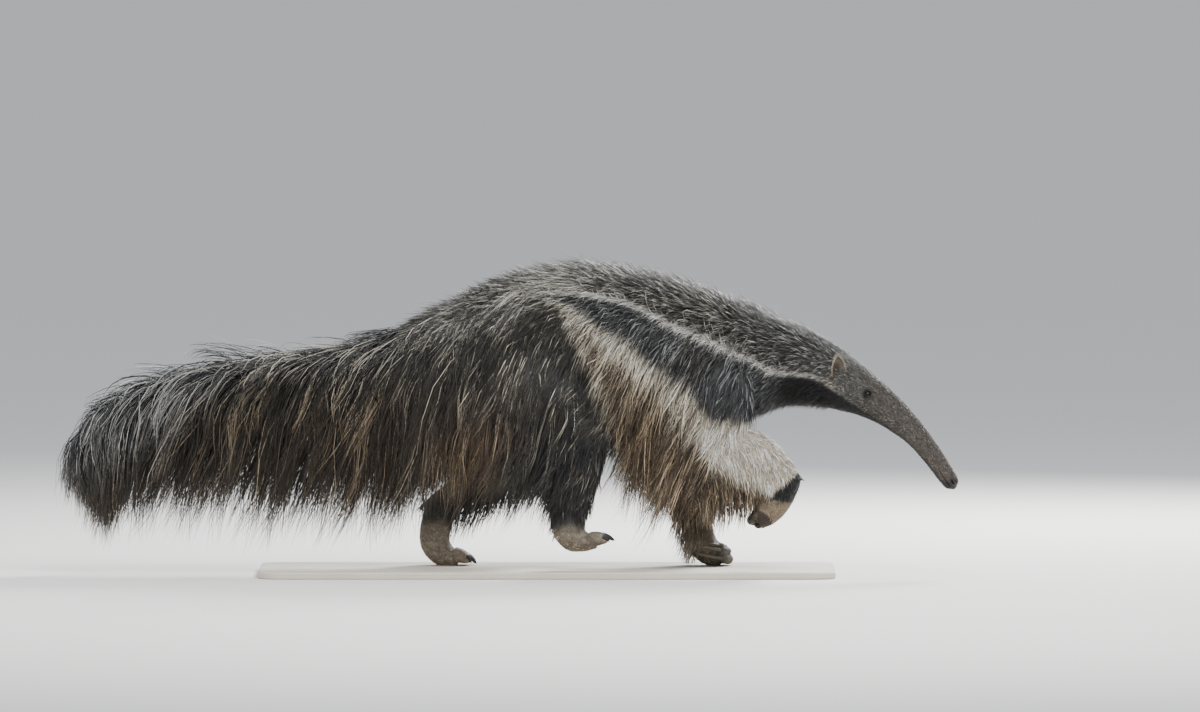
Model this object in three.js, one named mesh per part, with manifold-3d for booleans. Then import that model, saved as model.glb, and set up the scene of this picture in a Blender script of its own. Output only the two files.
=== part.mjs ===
// A giant anteater, life size, caught in mid stride: both left feet carry it, both right feet are lifted.
// It stands on a flat display base. Millimetres, +Z up; the animal faces +X and its left side is +Y.
// Heights below are above the top of the base, where the planted feet stand.
import * as THREE from "three";
import { mergeVertices } from "three/addons/utils/BufferGeometryUtils.js";
import Module from "manifold-3d";

const wasm = await Module();
wasm.setup();

const GAP = 0.3; // clear space between neighbouring pieces
const FINE = 0.12; // facets flatter than this are joined

// Display base: a flat board with rounded corners and a small bevel
const BASE = { middle: 70, length: 1180, width: 400, thick: 14, corner: 45, bevel: 2.5 };

// The spine from tail tip to snout tip. Where locks grow, this is the core that they are rooted in,
// and it reaches about half way to their tips.
// Each row: centre x, y, z, then half width, reach up and reach down.
const SPINE = [
  [-872, 26, 272, 9, 12, 42],
  [-840, 24, 294, 18, 22, 78],
  [-780, 20, 328, 27, 28, 108],
  [-700, 14, 352, 33, 32, 128],
  [-600, 8, 370, 38, 35, 140],
  [-500, 4, 381, 42, 37, 146],
  [-400, 1, 391, 46, 40, 146],
  [-310, 0, 404, 54, 46, 142],
  [-232, 0, 418, 70, 60, 136],
  [-165, 0, 430, 92, 92, 130],
  [-88, 0, 436, 112, 120, 132],
  [14, 0, 448, 124, 148, 150],
  [127, 0, 460, 126, 158, 166],
  [240, 0, 454, 124, 153, 168],
  [356, 0, 436, 117, 139, 150],
  [428, 0, 425, 108, 124, 133],
  [484, -2, 421, 91, 113, 112],
  [547, -6, 418, 72, 90, 89],
  [597, -12, 408, 62, 75, 75],
  [646, -19, 391, 53, 64, 62],
  [688, -26, 372, 46, 55, 53],
  [728, -33, 351, 38, 45, 43],
  [772, -41, 322, 31, 36, 34],
  [815, -50, 284, 26, 28.5, 27],
  [857, -59, 235, 22.5, 23, 22],
  [890, -66, 188, 20, 19.5, 19],
  [903, -69, 168, 14, 14, 13],
];
// Rows where thin cuts part the head, neck and torso
const CUT = { torso: 16, neck: 19 };
// The tail's cuts slant with the lie of its hair: each goes through x and z, and leans back going down
const TAIL_CUTS = { root: { x: -206, z: 430 }, middle: { x: -428, z: 392 }, end: { x: -652, z: 366 } };
const TAIL_LEAN = 0.24;

// Legs. Each length is a tube: rows of centre x, y, z, then half width, reach forward and reach back.
// A mitre is the plane between two lengths: its x and z, and where it faces, in degrees down from +X.
const LEGS = {
  hind_left: {
    lengths: {
      thigh: [
        [-30, 60, 440, 46, 84, 84],
        [-8, 86, 372, 60, 92, 112],
        [22, 94, 308, 58, 80, 104],
        [44, 94, 252, 50, 62, 84],
        [46, 93, 200, 42, 46, 66],
      ],
      shank: [
        [80, 93, 286, 46, 40, 52],
        [40, 93, 246, 48, 52, 60],
        [-22, 90, 206, 44, 50, 48],
        [-86, 87, 166, 37, 42, 40],
        [-140, 84, 128, 32, 34, 36],
        [-180, 83, 96, 30, 32, 34],
      ],
      foot: [
        [-118, 84, 146, 29, 30, 30],
        [-148, 84, 112, 31, 34, 34],
        [-160, 84, 74, 31, 33, 34],
        [-158, 84, 44, 34, 30, 34],
        [-138, 84, 22, 37, 24, 30],
        [-112, 84, 16, 38, 15, 24],
      ],
    },
    mitres: [
      { x: 46, z: 250, faces: 120 },
      { x: -146, z: 122, faces: 118 },
    ],
  },
  hind_right: {
    lengths: {
      thigh: [
        [-30, -60, 446, 46, 84, 84],
        [16, -88, 386, 62, 98, 112],
        [72, -98, 334, 60, 90, 108],
        [118, -100, 288, 52, 74, 92],
        [160, -100, 240, 46, 60, 74],
      ],
      shank: [
        [130, -100, 350, 46, 50, 60],
        [134, -100, 282, 50, 62, 74],
        [132, -98, 215, 44, 56, 62],
        [124, -96, 150, 37, 44, 50],
        [117, -94, 104, 33, 37, 39],
        [114, -93, 66, 31, 32, 36],
      ],
      foot: [
        [124, -94, 132, 32, 34, 36],
        [114, -93, 94, 32, 34, 38],
        [122, -93, 66, 34, 30, 30],
        [146, -93, 57, 36, 24, 21],
        [170, -93, 60, 36, 16, 17],
      ],
    },
    mitres: [
      { x: 126, z: 282, faces: 68 },
      { x: 117, z: 100, faces: 92 },
    ],
  },
  fore_left: {
    lengths: {
      arm: [
        [432, 58, 424, 34, 58, 60],
        [424, 82, 370, 46, 66, 80],
        [404, 90, 300, 50, 64, 92],
        [384, 90, 236, 48, 58, 84],
        [378, 87, 180, 45, 54, 68],
      ],
      forearm: [
        [386, 89, 252, 46, 56, 76],
        [376, 88, 206, 47, 56, 70],
        [374, 84, 150, 43, 48, 56],
        [377, 80, 100, 37, 38, 40],
        [383, 78, 62, 33, 31, 32],
        [388, 77, 34, 31, 28, 28],
      ],
      paw: [
        [381, 78, 84, 31, 30, 31],
        [386, 77, 56, 33, 31, 32],
        [398, 76, 36, 35, 30, 33],
        [416, 75, 27, 35, 25, 32],
        [430, 74, 24, 33, 17, 27],
      ],
    },
    mitres: [
      { x: 378, z: 208, faces: 94 },
      { x: 385, z: 62, faces: 80 },
    ],
  },
  fore_right: {
    lengths: {
      arm: [
        [438, -58, 424, 34, 56, 62],
        [438, -84, 372, 46, 64, 88],
        [428, -94, 306, 54, 70, 104],
        [408, -98, 236, 52, 66, 96],
        [388, -98, 170, 46, 56, 80],
      ],
      forearm: [
        [340, -98, 232, 44, 60, 64],
        [400, -98, 222, 52, 82, 84],
        [456, -98, 214, 54, 92, 84],
        [508, -96, 200, 50, 84, 66],
        [548, -94, 182, 43, 62, 46],
        [584, -92, 158, 37, 42, 34],
      ],
      paw: [
        [578, -92, 206, 36, 36, 36],
        [564, -91, 170, 36, 34, 36],
        [546, -90, 138, 36, 32, 38],
        [524, -89, 114, 35, 28, 32],
        [506, -88, 100, 30, 20, 22],
      ],
    },
    mitres: [
      { x: 396, z: 214, faces: 40 },
      { x: 556, z: 176, faces: 54 },
    ],
  },
};

// Ears: place on the head as a spine row and an angle from the top, and the cup's outer radii
const EAR = { row: 19.42, angle: 76, radii: [13.5, 8.5, 28], wall: 3.2, stand: 14, tilt: 24, lean: -24 };
// Eyes: place as a spine row and an angle from the top, the ball's radius and how far it sits in
const EYE = { row: 21.0, angle: 84, radius: 8.5, sunk: 4.6, lid: 2.6, opening: 0.78 };
// Mouth: a slit round the snout's front, spine rows from its corners to the tip, under the axis
const MOUTH = { row: 24.6, below: 6.5, length: 46, slit: 1.6, deep: 3, lip: 4.2, swell: 1.3 };
const NOSTRIL = { row: 25.5, angle: 50, roll: 28, radii: [5.2, 2.2, 2.6] };

// Hind claws: five on each foot; sizes are at the root, and the middle toe is the longest
const HIND_CLAW = { count: 5, spread: 29, start: 12, rise: 8, length: 24, radius: 5.6, curl: 13 };
// Fore claws curl from the knuckles round the inner side of the closed hand.
// Each: digit, radius of the curl, where it starts and how far it sweeps in degrees, radius at the root,
// and height on the hand.
const FORE_CLAWS = [
  [1, 30, 40, 60, 4.4, 17],
  [2, 35, 14, 112, 6.6, 8],
  [3, 39, 2, 140, 8, -8],
  [4, 37, -46, 34, 4.4, -11],
];
const KNUCKLE = { behind: 24, wide: 1.18 };
const TOE = { length: 26, middle: 1.9, end: 1.35 }; // the radii are in those of the claw's root

const radians = THREE.MathUtils.degToRad;
const SIDES = { left: -1, right: 1 }; // which way each side lies along a tube's own side axis

// Locks of the coat, in tiers. Each tier: its first and last row, how many locks, the angle from the top or
// front that they are rooted at, rows that they run, degrees that they turn, then, in millimetres, how far
// their tips stand out, how far they hang, and their width.
const SPINE_TIERS = [
  // the tail, from its ridge down to its keel
  { rows: [0.3, 8.3], count: 8, angle: 0, run: -1.3, turn: 0, lift: 26, hang: 26, width: 54 },
  { rows: [0.6, 8.4], count: 8, angle: 36, run: -0.8, turn: 52, lift: 24, hang: 96, width: 60 },
  { rows: [0.2, 8.2], count: 9, angle: 82, run: -0.55, turn: 44, lift: 22, hang: 150, width: 54 },
  { rows: [0.5, 8.4], count: 8, angle: 128, run: -0.35, turn: 22, lift: 16, hang: 168, width: 56 },
  { rows: [0.1, 8.1], count: 8, angle: 180, run: -0.3, turn: 0, lift: 6, hang: 168, width: 54 },
  // the rump, hanging over the root of the tail and behind the thighs
  { rows: [9.1, 10.3], count: 3, angle: 64, run: -0.5, turn: 30, lift: 22, hang: 150, width: 58 },
  { rows: [8.9, 10], count: 4, angle: 104, run: -0.4, turn: 16, lift: 14, hang: 200, width: 52 },
  // the back and flanks
  { rows: [9.2, 15.9], count: 7, angle: 0, run: -1.2, turn: 0, lift: 17, hang: 0, width: 64 },
  { rows: [9, 15.6], count: 6, angle: 32, run: -1.15, turn: 14, lift: 17, hang: 0, width: 78 },
  { rows: [9.6, 15.9], count: 6, angle: 68, run: -1, turn: 16, lift: 17, hang: 14, width: 80 },
  { rows: [12.4, 14.2], count: 4, angle: 98, run: -0.5, turn: 12, lift: 18, hang: 84, width: 60 },
  // the fringe under the flanks and chest
  { rows: [12.95, 14.3], count: 4, angle: 128, run: -0.35, turn: 8, lift: 12, hang: 145, width: 50 },
  { rows: [11.4, 12.3], count: 2, angle: 180, run: -0.5, turn: 0, lift: 8, hang: 30, width: 60 },
  { rows: [13, 14.1], count: 3, angle: 180, run: -0.5, turn: 0, lift: 8, hang: 96, width: 60 },
  // the neck
  { rows: [16.7, 19], count: 2, angle: 0, run: -1.2, turn: 0, lift: 7, hang: 0, width: 38 },
  { rows: [16.5, 18.7], count: 2, angle: 42, run: -1.2, turn: 8, lift: 7, hang: 0, width: 46 },
  { rows: [16.8, 18.6], count: 2, angle: 84, run: -0.9, turn: 8, lift: 7, hang: 6, width: 42 },
];
const LIMB_TIERS = {
  thigh: [
    { rows: [1, 2.6], count: 3, angle: 52, run: 0.4, turn: 12, lift: 14, hang: 84, width: 50 },
    { rows: [0.7, 2.5], count: 4, angle: 96, run: 0.4, turn: 14, lift: 15, hang: 96, width: 50 },
    { rows: [1, 2.8], count: 3, angle: 142, run: 0.4, turn: 10, lift: 14, hang: 104, width: 50 },
  ],
  arm: [
    { rows: [1.1, 2.5], count: 2, angle: 84, run: 0.5, turn: 16, lift: 10, hang: 50, width: 46 },
    { rows: [0.9, 3], count: 3, angle: 128, run: 0.4, turn: 16, lift: 12, hang: 82, width: 44 },
    { rows: [1.1, 3], count: 3, angle: 168, run: 0.3, turn: 0, lift: 12, hang: 96, width: 42 },
  ],
  shank_left: [{ rows: [1.4, 3.4], count: 3, angle: 168, run: 0.2, turn: 0, lift: 10, hang: 56, width: 40 }],
  forearm_right: [
    { rows: [0.7, 2.9], count: 3, angle: 118, run: 0.3, turn: 24, lift: 9, hang: 44, width: 46 },
    { rows: [0.9, 3.1], count: 3, angle: 172, run: 0.3, turn: 0, lift: 6, hang: 30, width: 46 },
  ],
};
const LOCK = { sink: 9, thick: 8, steps: 3, vary: 0.18, seed: 23 };

// A closed manifold from a three.js geometry, with the vertices that share a place merged
function solid(geometry) {
  geometry.deleteAttribute("normal");
  geometry.deleteAttribute("uv");
  const merged = mergeVertices(geometry, 1e-4);
  return new wasm.Manifold(
    new wasm.Mesh({
      numProp: 3,
      vertProperties: merged.attributes.position.array,
      triVerts: new Uint32Array(merged.index.array),
    }),
  );
}

// Bends a unit cylinder over place(share along, angle, 1 at the wall or 0 in the middle of an end).
// A pointed one closes to a tip at its far end.
function bend(sides, steps, place, pointed = false) {
  const unit = new THREE.CylinderGeometry(pointed ? 0 : 1, 1, 1, sides, steps);
  const at = unit.attributes.position;
  for (let i = 0; i < at.count; i++) {
    const wall = Math.hypot(at.getX(i), at.getZ(i)) > 1e-6 ? 1 : 0;
    const point = place(at.getY(i) + 0.5, Math.atan2(at.getX(i), at.getZ(i)), wall);
    at.setXYZ(i, point.x, point.y, point.z);
  }
  return solid(unit);
}

// The axes across a run: side lies as near as it can to -Y, and fore is upright to both
function across(run) {
  const side = new THREE.Vector3(0, -1, 0).addScaledVector(run, run.y).normalize();
  return { side, fore: side.clone().cross(run) };
}

// A soft tube through rows of [x, y, z, half width, reach to the fore, reach to the back].
// Past its ends it runs straight on.
function tube(rows, squareness = 2.2) {
  const smooth = (first) =>
    new THREE.CatmullRomCurve3(
      rows.map((row) => new THREE.Vector3(...row.slice(first, first + 3))),
      false,
      "catmullrom",
      0.5,
    );
  const [centre, reaches] = [smooth(0), smooth(3)];
  const last = rows.length - 1;
  const rounded = (value) => Math.sign(value) * Math.abs(value) ** (2 / squareness);
  const frame = (row) => {
    const share = THREE.MathUtils.clamp(row / last, 0, 1);
    const run = centre.getTangent(share);
    const beyond = (row - share * last) * centre.points[0].distanceTo(centre.points[1]);
    const middle = centre.getPoint(share).addScaledVector(run, beyond);
    return { middle, reach: reaches.getPoint(share), run, ...across(run) };
  };
  const point = (row, angle, wall = 1, grow = 0) => {
    const { middle, reach, fore, side } = frame(row);
    const depth = (Math.cos(angle) > 0 ? reach.y : reach.z) + grow;
    return middle
      .clone()
      .addScaledVector(side, wall * (reach.x + grow) * rounded(Math.sin(angle)))
      .addScaledVector(fore, wall * depth * rounded(Math.cos(angle)));
  };
  // The stretch between two rows; its ends are drawn in by inset and its walls pushed out by grow
  const stretch = (from, to, sides, steps, { grow = 0, inset = 0 } = {}) =>
    bend(sides, steps, (share, angle, wall) => {
      const row = from + (to - from) * share;
      const slide = share === 0 ? inset : share === 1 ? -inset : 0;
      return point(row, angle, wall, grow).addScaledVector(frame(row).run, slide);
    });
  return { frame, point, stretch, last };
}

// What is left of a direction once its part along a run is taken out
const squared = (direction, run) => direction.clone().addScaledVector(run, -run.dot(direction)).normalize();

// A curved spike along path(share), from a radius at the root to a point; normal is upright to its curl
function spike(path, normal, radius, steps, grow = 0) {
  return bend(
    5,
    steps,
    (share, angle, wall) => {
      if (share === 1) return path(1).lerp(path(1 - 1 / steps), -0.25 * grow);
      const run = path(share + 0.01).sub(path(share - 0.01)).normalize();
      const upright = squared(normal, run);
      const size = wall * (radius * (1 - share) ** 0.8 + grow);
      return path(share)
        .addScaledVector(run, share === 0 ? -0.8 * GAP * grow : 0)
        .addScaledVector(run.clone().cross(upright), size * Math.sin(angle))
        .addScaledVector(upright, 0.85 * size * Math.cos(angle));
    },
    true,
  );
}

// A seeded draw of numbers from -1 to 1
function seeded(seed) {
  let state = seed;
  return () => {
    state = (Math.imul(state, 1664525) + 1013904223) >>> 0;
    return state / 2 ** 31 - 1;
  };
}
const draw = seeded(LOCK.seed);
const varied = (value) => value * (1 + LOCK.vary * draw());

// The paths and sizes of a tier of locks on a tube, on one side of it
function tier(limb, side, { rows, count, angle, run, turn, lift, hang, width }) {
  return Array.from({ length: count }, (_, order) => {
    const step = (rows[1] - rows[0]) / (count - 1);
    const row = rows[0] + step * (order + 0.3 * draw());
    const from = side * radians(angle + 5 * draw());
    const [goes, swings, stands, falls] = [run, side * radians(turn), lift, hang].map(varied);
    const lateral = new THREE.Vector3(0, angle % 180 ? -side : Math.sign(draw()), 0);
    const drape = Math.min(1, hang / 80);
    const at = (share, grow) => limb.point(row + goes * share, from + swings * share, 1, grow);
    return {
      path: (share) =>
        at(share, (LOCK.sink + stands) * share ** 0.75 - LOCK.sink).add(
          new THREE.Vector3(0, 0, -falls * share ** 1.6),
        ),
      outward: (share) =>
        at(share, 0)
          .sub(limb.frame(row + goes * share).middle)
          .normalize()
          .lerp(lateral, drape),
      width: varied(width),
    };
  });
}
// A tier on both sides, or one row of locks where it is rooted at the very top or bottom
const tiers = (limb, list) =>
  list.flatMap((row) => (row.angle % 180 ? [-1, 1] : [1]).flatMap((side) => tier(limb, side, row)));

// A flat lock: three-sided, its ridge outwards, narrowing to a point
function lock({ path, outward, width }, grow = 0) {
  return bend(
    3,
    LOCK.steps,
    (share, angle, wall) => {
      const back = share === 1 ? 1 / LOCK.steps : Math.min(share, 0.02);
      const run = path(share === 1 ? 1 : share + 0.02).sub(path(share - back)).normalize();
      if (share === 1) return path(1).addScaledVector(run, 6 * grow);
      const out = squared(outward(share), run);
      const wide = (width / 2) * Math.sin(Math.PI * (0.15 + 0.85 * share ** 1.35)) ** 0.8;
      const thick = LOCK.thick * (1 - 0.6 * share);
      const high = Math.cos(angle) > 0 ? 0.6 * thick + 1.3 * grow : -0.4 * thick - grow;
      const aside = (Math.sin(angle) / Math.sin(Math.PI / 3)) * (wide + 6 * grow);
      return path(share)
        .addScaledVector(run, share === 0 ? -grow : 0)
        .addScaledVector(run.clone().cross(out), wall * aside)
        .addScaledVector(out, wall * high);
    },
    true,
  );
}
const hair = (locks, grow = 0) => wasm.Manifold.union(locks.map((each) => lock(each, grow)));

// A geometry, scaled, then turned to face along a direction with its own +Z kept as upright as it can
function facing(geometry, centre, forward, up) {
  const z = squared(up, forward);
  const turn = new THREE.Matrix4().makeBasis(z.clone().cross(forward).negate(), forward, z);
  return solid(geometry.applyMatrix4(turn.setPosition(centre)));
}

const largest = (whole) =>
  whole.decompose().reduce((best, body) => (body.volume() > best.volume() ? body : best));

const MATERIALS = {
  fur_back: { color: "#6f665c", roughness: 0.85, metalness: 0 },
  fur_dark: { color: "#33302d", roughness: 0.85, metalness: 0 },
  fur_cream: { color: "#cbbd9b", roughness: 0.85, metalness: 0 },
  fur_brown: { color: "#6b5843", roughness: 0.85, metalness: 0 },
  eye: { color: "#140f0c", roughness: 0.15, metalness: 0 },
  claw: { color: "#4a443d", roughness: 0.45, metalness: 0 },
  base: { color: "#d2c6b8", roughness: 0.7, metalness: 0 },
};
const materials = Object.fromEntries(
  Object.entries(MATERIALS).map(([name, look]) => [name, new THREE.MeshStandardMaterial(look)]),
);
const animal = new THREE.Group();

// Adds the largest body of a manifold to the model as a named mesh
function addNode(name, whole, look) {
  const mesh = largest(largest(whole).simplify(FINE)).getMesh();
  const geometry = new THREE.BufferGeometry()
    .setAttribute("position", new THREE.BufferAttribute(new Float32Array(mesh.vertProperties), 3))
    .setIndex(new THREE.BufferAttribute(mesh.triVerts, 1));
  geometry.computeVertexNormals();
  const node = new THREE.Mesh(geometry, materials[look]);
  node.name = name;
  animal.add(node);
}

// Keeps what lies ahead of a plane, or behind it, drawn back from it by half a gap
const inset = GAP / 2;
const ahead = (whole, { normal, offset }) => whole.trimByPlane(normal, offset + inset);
const behind = (whole, { normal, offset }) => whole.trimByPlane(normal.map((value) => -value), inset - offset);
// A plane through x and z, or through a row of the spine, that faces along the given x and z
function plane(x, z, facesX, facesZ) {
  const normal = new THREE.Vector3(facesX, 0, facesZ).normalize();
  return { normal: normal.toArray(), offset: x * normal.x + z * normal.z };
}

const spine = tube(SPINE);
const rowPlane = (row) => {
  const { middle, run } = spine.frame(row);
  return { normal: run.toArray(), offset: middle.dot(run) };
};
const trunk = (grow = 0) => spine.stretch(0, CUT.torso + 0.2, 16, 23, { grow });
const neckCore = (grow = 0) => spine.stretch(CUT.torso - 0.2, CUT.neck + 0.2, 16, 5, { grow });
const skull = (grow = 0) => spine.stretch(CUT.neck, spine.last, 20, 16, grow ? { grow } : { inset });

// Legs: lengths of limb, cut clear of the body and mitred where one meets the next
const bodyRoom = wasm.Manifold.union([trunk(GAP), neckCore(GAP), skull(GAP)]);
const limbs = Object.entries(LEGS).flatMap(([name, { lengths, mitres }]) => {
  const [kind, side] = name.split("_");
  const planes = mitres.map(({ x, z, faces }) =>
    plane(x, z, Math.cos(radians(faces)), -Math.sin(radians(faces))),
  );
  return Object.entries(lengths).map(([part, rows], order) => {
    const limb = tube(rows, 2.1);
    const mitred = (grow) => {
      let piece = limb.stretch(0, limb.last, 12, 6, { grow });
      if (order > 0) piece = ahead(piece, planes[order - 1]);
      if (order < planes.length) piece = behind(piece, planes[order]);
      return piece.trimByPlane([0, 0, 1], GAP);
    };
    const list = LIMB_TIERS[`${part}_${side}`] ?? LIMB_TIERS[part] ?? [];
    const locks = list.flatMap((row) => tier(limb, SIDES[side], row));
    const core = mitred(0).subtract(bodyRoom);
    return { name: `${part}_${side}`, kind, part, side, limb, locks, core, room: mitred(GAP) };
  });
});

// The coat of the tail, torso and neck, clear of the legs
const legRoom = wasm.Manifold.union(limbs.map(({ room }) => room));
const spineLocks = tiers(spine, SPINE_TIERS);
const spineHair = hair(spineLocks).subtract(legRoom);
const trunkCoat = behind(wasm.Manifold.union(trunk(), spineHair), rowPlane(CUT.torso));
const [root, middleCut, end] = Object.values(TAIL_CUTS).map(({ x, z }) => plane(x, z, 1, -TAIL_LEAN));
addNode("torso", ahead(trunkCoat, root), "fur_back");
addNode("tail_root", ahead(behind(trunkCoat, root), middleCut), "fur_dark");
addNode("tail_middle", ahead(behind(trunkCoat, middleCut), end), "fur_dark");
addNode("tail_end", behind(trunkCoat, end), "fur_dark");
const neckCoat = wasm.Manifold.union(neckCore(), spineHair);
addNode("neck", behind(ahead(neckCoat, rowPlane(CUT.torso)), rowPlane(CUT.neck)), "fur_back");

// Eyes: a ball in each side of the head, with a rolled lid round its opening
const head = [skull()];
const sockets = [];
for (const [name, sign] of Object.entries(SIDES)) {
  const angle = sign * radians(EYE.angle);
  const { middle } = spine.frame(EYE.row);
  const surface = spine.point(EYE.row, angle);
  const out = surface.clone().sub(middle).normalize();
  const centre = surface.clone().addScaledVector(out, -EYE.sunk);
  const ball = (radius) => {
    const round = new THREE.SphereGeometry(radius, 10, 8);
    round.translate(...centre);
    return solid(round);
  };
  const lid = new THREE.TorusGeometry(EYE.radius, EYE.lid, 5, 12).rotateX(Math.PI / 2);
  lid.scale(1.12, 1, EYE.opening);
  head.push(facing(lid, surface.clone().addScaledVector(out, -0.8), out, spine.frame(EYE.row).fore));
  sockets.push(ball(EYE.radius + GAP));
  addNode(`eye_${name}`, ball(EYE.radius), "eye");
}

// Lips, mouth slit and nostrils
const jaw = spine.frame(MOUTH.row);
const mouthPlate = (thick, length) => {
  const plate = new THREE.BoxGeometry(80, length, thick).translate(0, length / 2, 0);
  return facing(plate, jaw.middle.clone().addScaledVector(jaw.fore, -MOUTH.below), jaw.run, jaw.fore);
};
head.push(skull(MOUTH.swell).intersect(mouthPlate(2 * MOUTH.lip, MOUTH.length)));
const slit = mouthPlate(MOUTH.slit, MOUTH.length).subtract(skull(-MOUTH.deep));
const pits = Object.values(SIDES).map((sign) => {
  const pit = new THREE.SphereGeometry(1, 6, 5).scale(NOSTRIL.radii[1], NOSTRIL.radii[0], NOSTRIL.radii[2]);
  const place = spine.point(NOSTRIL.row, radians(sign * NOSTRIL.angle + NOSTRIL.roll));
  return facing(pit, place, jaw.run, jaw.fore);
});
addNode(
  "head",
  wasm.Manifold.union(head).subtract(wasm.Manifold.union([...sockets, slit, ...pits])),
  "fur_back",
);

// Ears: upright cups, open to the front and outwards
for (const [name, sign] of Object.entries(SIDES)) {
  const angle = sign * radians(EAR.angle);
  const { run, fore, side } = spine.frame(EAR.row);
  const surface = spine.point(EAR.row, angle);
  const tilt = sign * radians(EAR.tilt);
  const up = fore.clone().multiplyScalar(Math.cos(tilt)).addScaledVector(side, Math.sin(tilt));
  up.addScaledVector(run, Math.tan(radians(EAR.lean))).normalize();
  const open = run.clone().add(new THREE.Vector3(0, -sign * 1.6, 0)).normalize();
  const shape = (radii, shift) => {
    const cup = new THREE.SphereGeometry(1, 10, 7).scale(...radii).translate(0, shift, 0);
    return facing(cup, surface.clone().addScaledVector(up, EAR.stand), open, up);
  };
  const inner = EAR.radii.map((radius) => radius - EAR.wall);
  const cup = shape(EAR.radii, 0).subtract(shape([inner[0], EAR.radii[1], inner[2]], EAR.wall * 1.6));
  addNode(`ear_${name}`, cup.subtract(bodyRoom).subtract(hair(spineLocks, GAP)), "fur_back");
}

// The coat of the legs, clear of the body's coat and of one another
const taken = [bodyRoom, hair(spineLocks, GAP)];
const toes = [];
for (const limb of limbs) {
  if (limb.locks.length) {
    const others = limbs.filter((other) => other !== limb).map(({ room }) => room);
    const room = wasm.Manifold.union([...taken, ...others]);
    limb.core = limb.core.add(hair(limb.locks).subtract(room));
    taken.push(hair(limb.locks, GAP));
  }
  if (limb.part === "foot" || limb.part === "paw") toes.push(limb);
  else addNode(limb.name, limb.core, limb.kind === "hind" ? "fur_dark" : "fur_cream");
}

// Toes with flat ends, and on each, past a gap, its claw: hind ones fan forward from five toes,
// fore ones curl inwards from the knuckles
const coatRoom = wasm.Manifold.union(taken);
for (const { name, limb, core, part, side } of toes) {
  const { middle, run, fore, side: aside } = limb.frame(limb.last);
  const flesh = [core];
  const room = [];
  const digits = [];
  if (part === "foot") {
    for (let toe = 0; toe < HIND_CLAW.count; toe++) {
      const spread = toe / (HIND_CLAW.count - 1) - 0.5;
      const size = 1 - 1.2 * spread ** 2;
      const path = (share) =>
        middle
          .clone()
          .addScaledVector(aside, 2 * spread * (HIND_CLAW.spread + 3 * share))
          .addScaledVector(run, HIND_CLAW.start * size + 2 + HIND_CLAW.length * size * share)
          .addScaledVector(fore, HIND_CLAW.rise - HIND_CLAW.curl * share ** 2);
      digits.push({ digit: toe + 1, path, normal: aside, radius: HIND_CLAW.radius, steps: 3 });
    }
  } else {
    const inward = -SIDES[side];
    for (const [digit, curl, start, sweep, radius, high] of FORE_CLAWS) {
      const hub = middle.clone().addScaledVector(run, -KNUCKLE.behind).addScaledVector(fore, high);
      const path = (share) => {
        const turn = radians(start + sweep * share);
        return hub
          .clone()
          .addScaledVector(run, curl * Math.cos(turn))
          .addScaledVector(aside, inward * (curl * KNUCKLE.wide * Math.sin(turn)));
      };
      digits.push({ digit, path, normal: fore, radius, steps: 4 });
    }
  }
  for (const { digit, path, normal, radius, steps } of digits) {
    const start = path(0);
    const along = path(0.02).sub(start).normalize();
    const finger = bend(6, 2, (share, angle, wall) => {
      const size = wall * radius * (share === 1 ? TOE.end : TOE.middle);
      const back = run.clone().lerp(along, share).normalize();
      const upright = squared(normal, back);
      return start
        .clone()
        .addScaledVector(back, -TOE.length * (1 - share) - GAP)
        .addScaledVector(back.clone().cross(upright), size * Math.sin(angle))
        .addScaledVector(upright, size * Math.cos(angle));
    });
    flesh.push(finger.trimByPlane([0, 0, 1], GAP).subtract(coatRoom));
    if (part === "paw") room.push(spike(path, normal, radius, steps, 1));
    const claw = spike(path, normal, radius, steps).trimByPlane([0, 0, 1], GAP);
    addNode(`claw_${part === "foot" ? "hind" : "fore"}_${side}_${digit}`, claw, "claw");
  }
  addNode(name, wasm.Manifold.union(flesh).subtract(wasm.Manifold.union(room)), "fur_brown");
}

// The base, its top at the height of the soles
function board({ length, width, thick, corner, bevel }) {
  const [x, y] = [length / 2 - bevel, width / 2 - bevel];
  const outline = new THREE.Shape().moveTo(-x + corner, -y);
  const arc = (cx, cy, from) => outline.absarc(cx, cy, corner, from, from + Math.PI / 2, false);
  arc(x - corner, -y + corner, -Math.PI / 2);
  arc(x - corner, y - corner, 0);
  arc(-x + corner, y - corner, Math.PI / 2);
  arc(-x + corner, -y + corner, Math.PI);
  return new THREE.ExtrudeGeometry(outline, {
    depth: thick - 2 * bevel,
    bevelThickness: bevel,
    bevelSize: bevel,
    bevelSegments: 1,
    curveSegments: 3,
  });
}
addNode("stand_base", solid(board(BASE).translate(BASE.middle, 0, BASE.bevel - BASE.thick)), "base");

// The origin is under the middle of the whole, on the base's underside
const whole = new THREE.Box3().setFromObject(animal);
const middle = whole.getCenter(new THREE.Vector3());
animal.position.set(-middle.x, -middle.y, -whole.min.z);
export default animal;
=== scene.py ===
"""A giant anteater, life size, caught in mid stride on a display board."""

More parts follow.
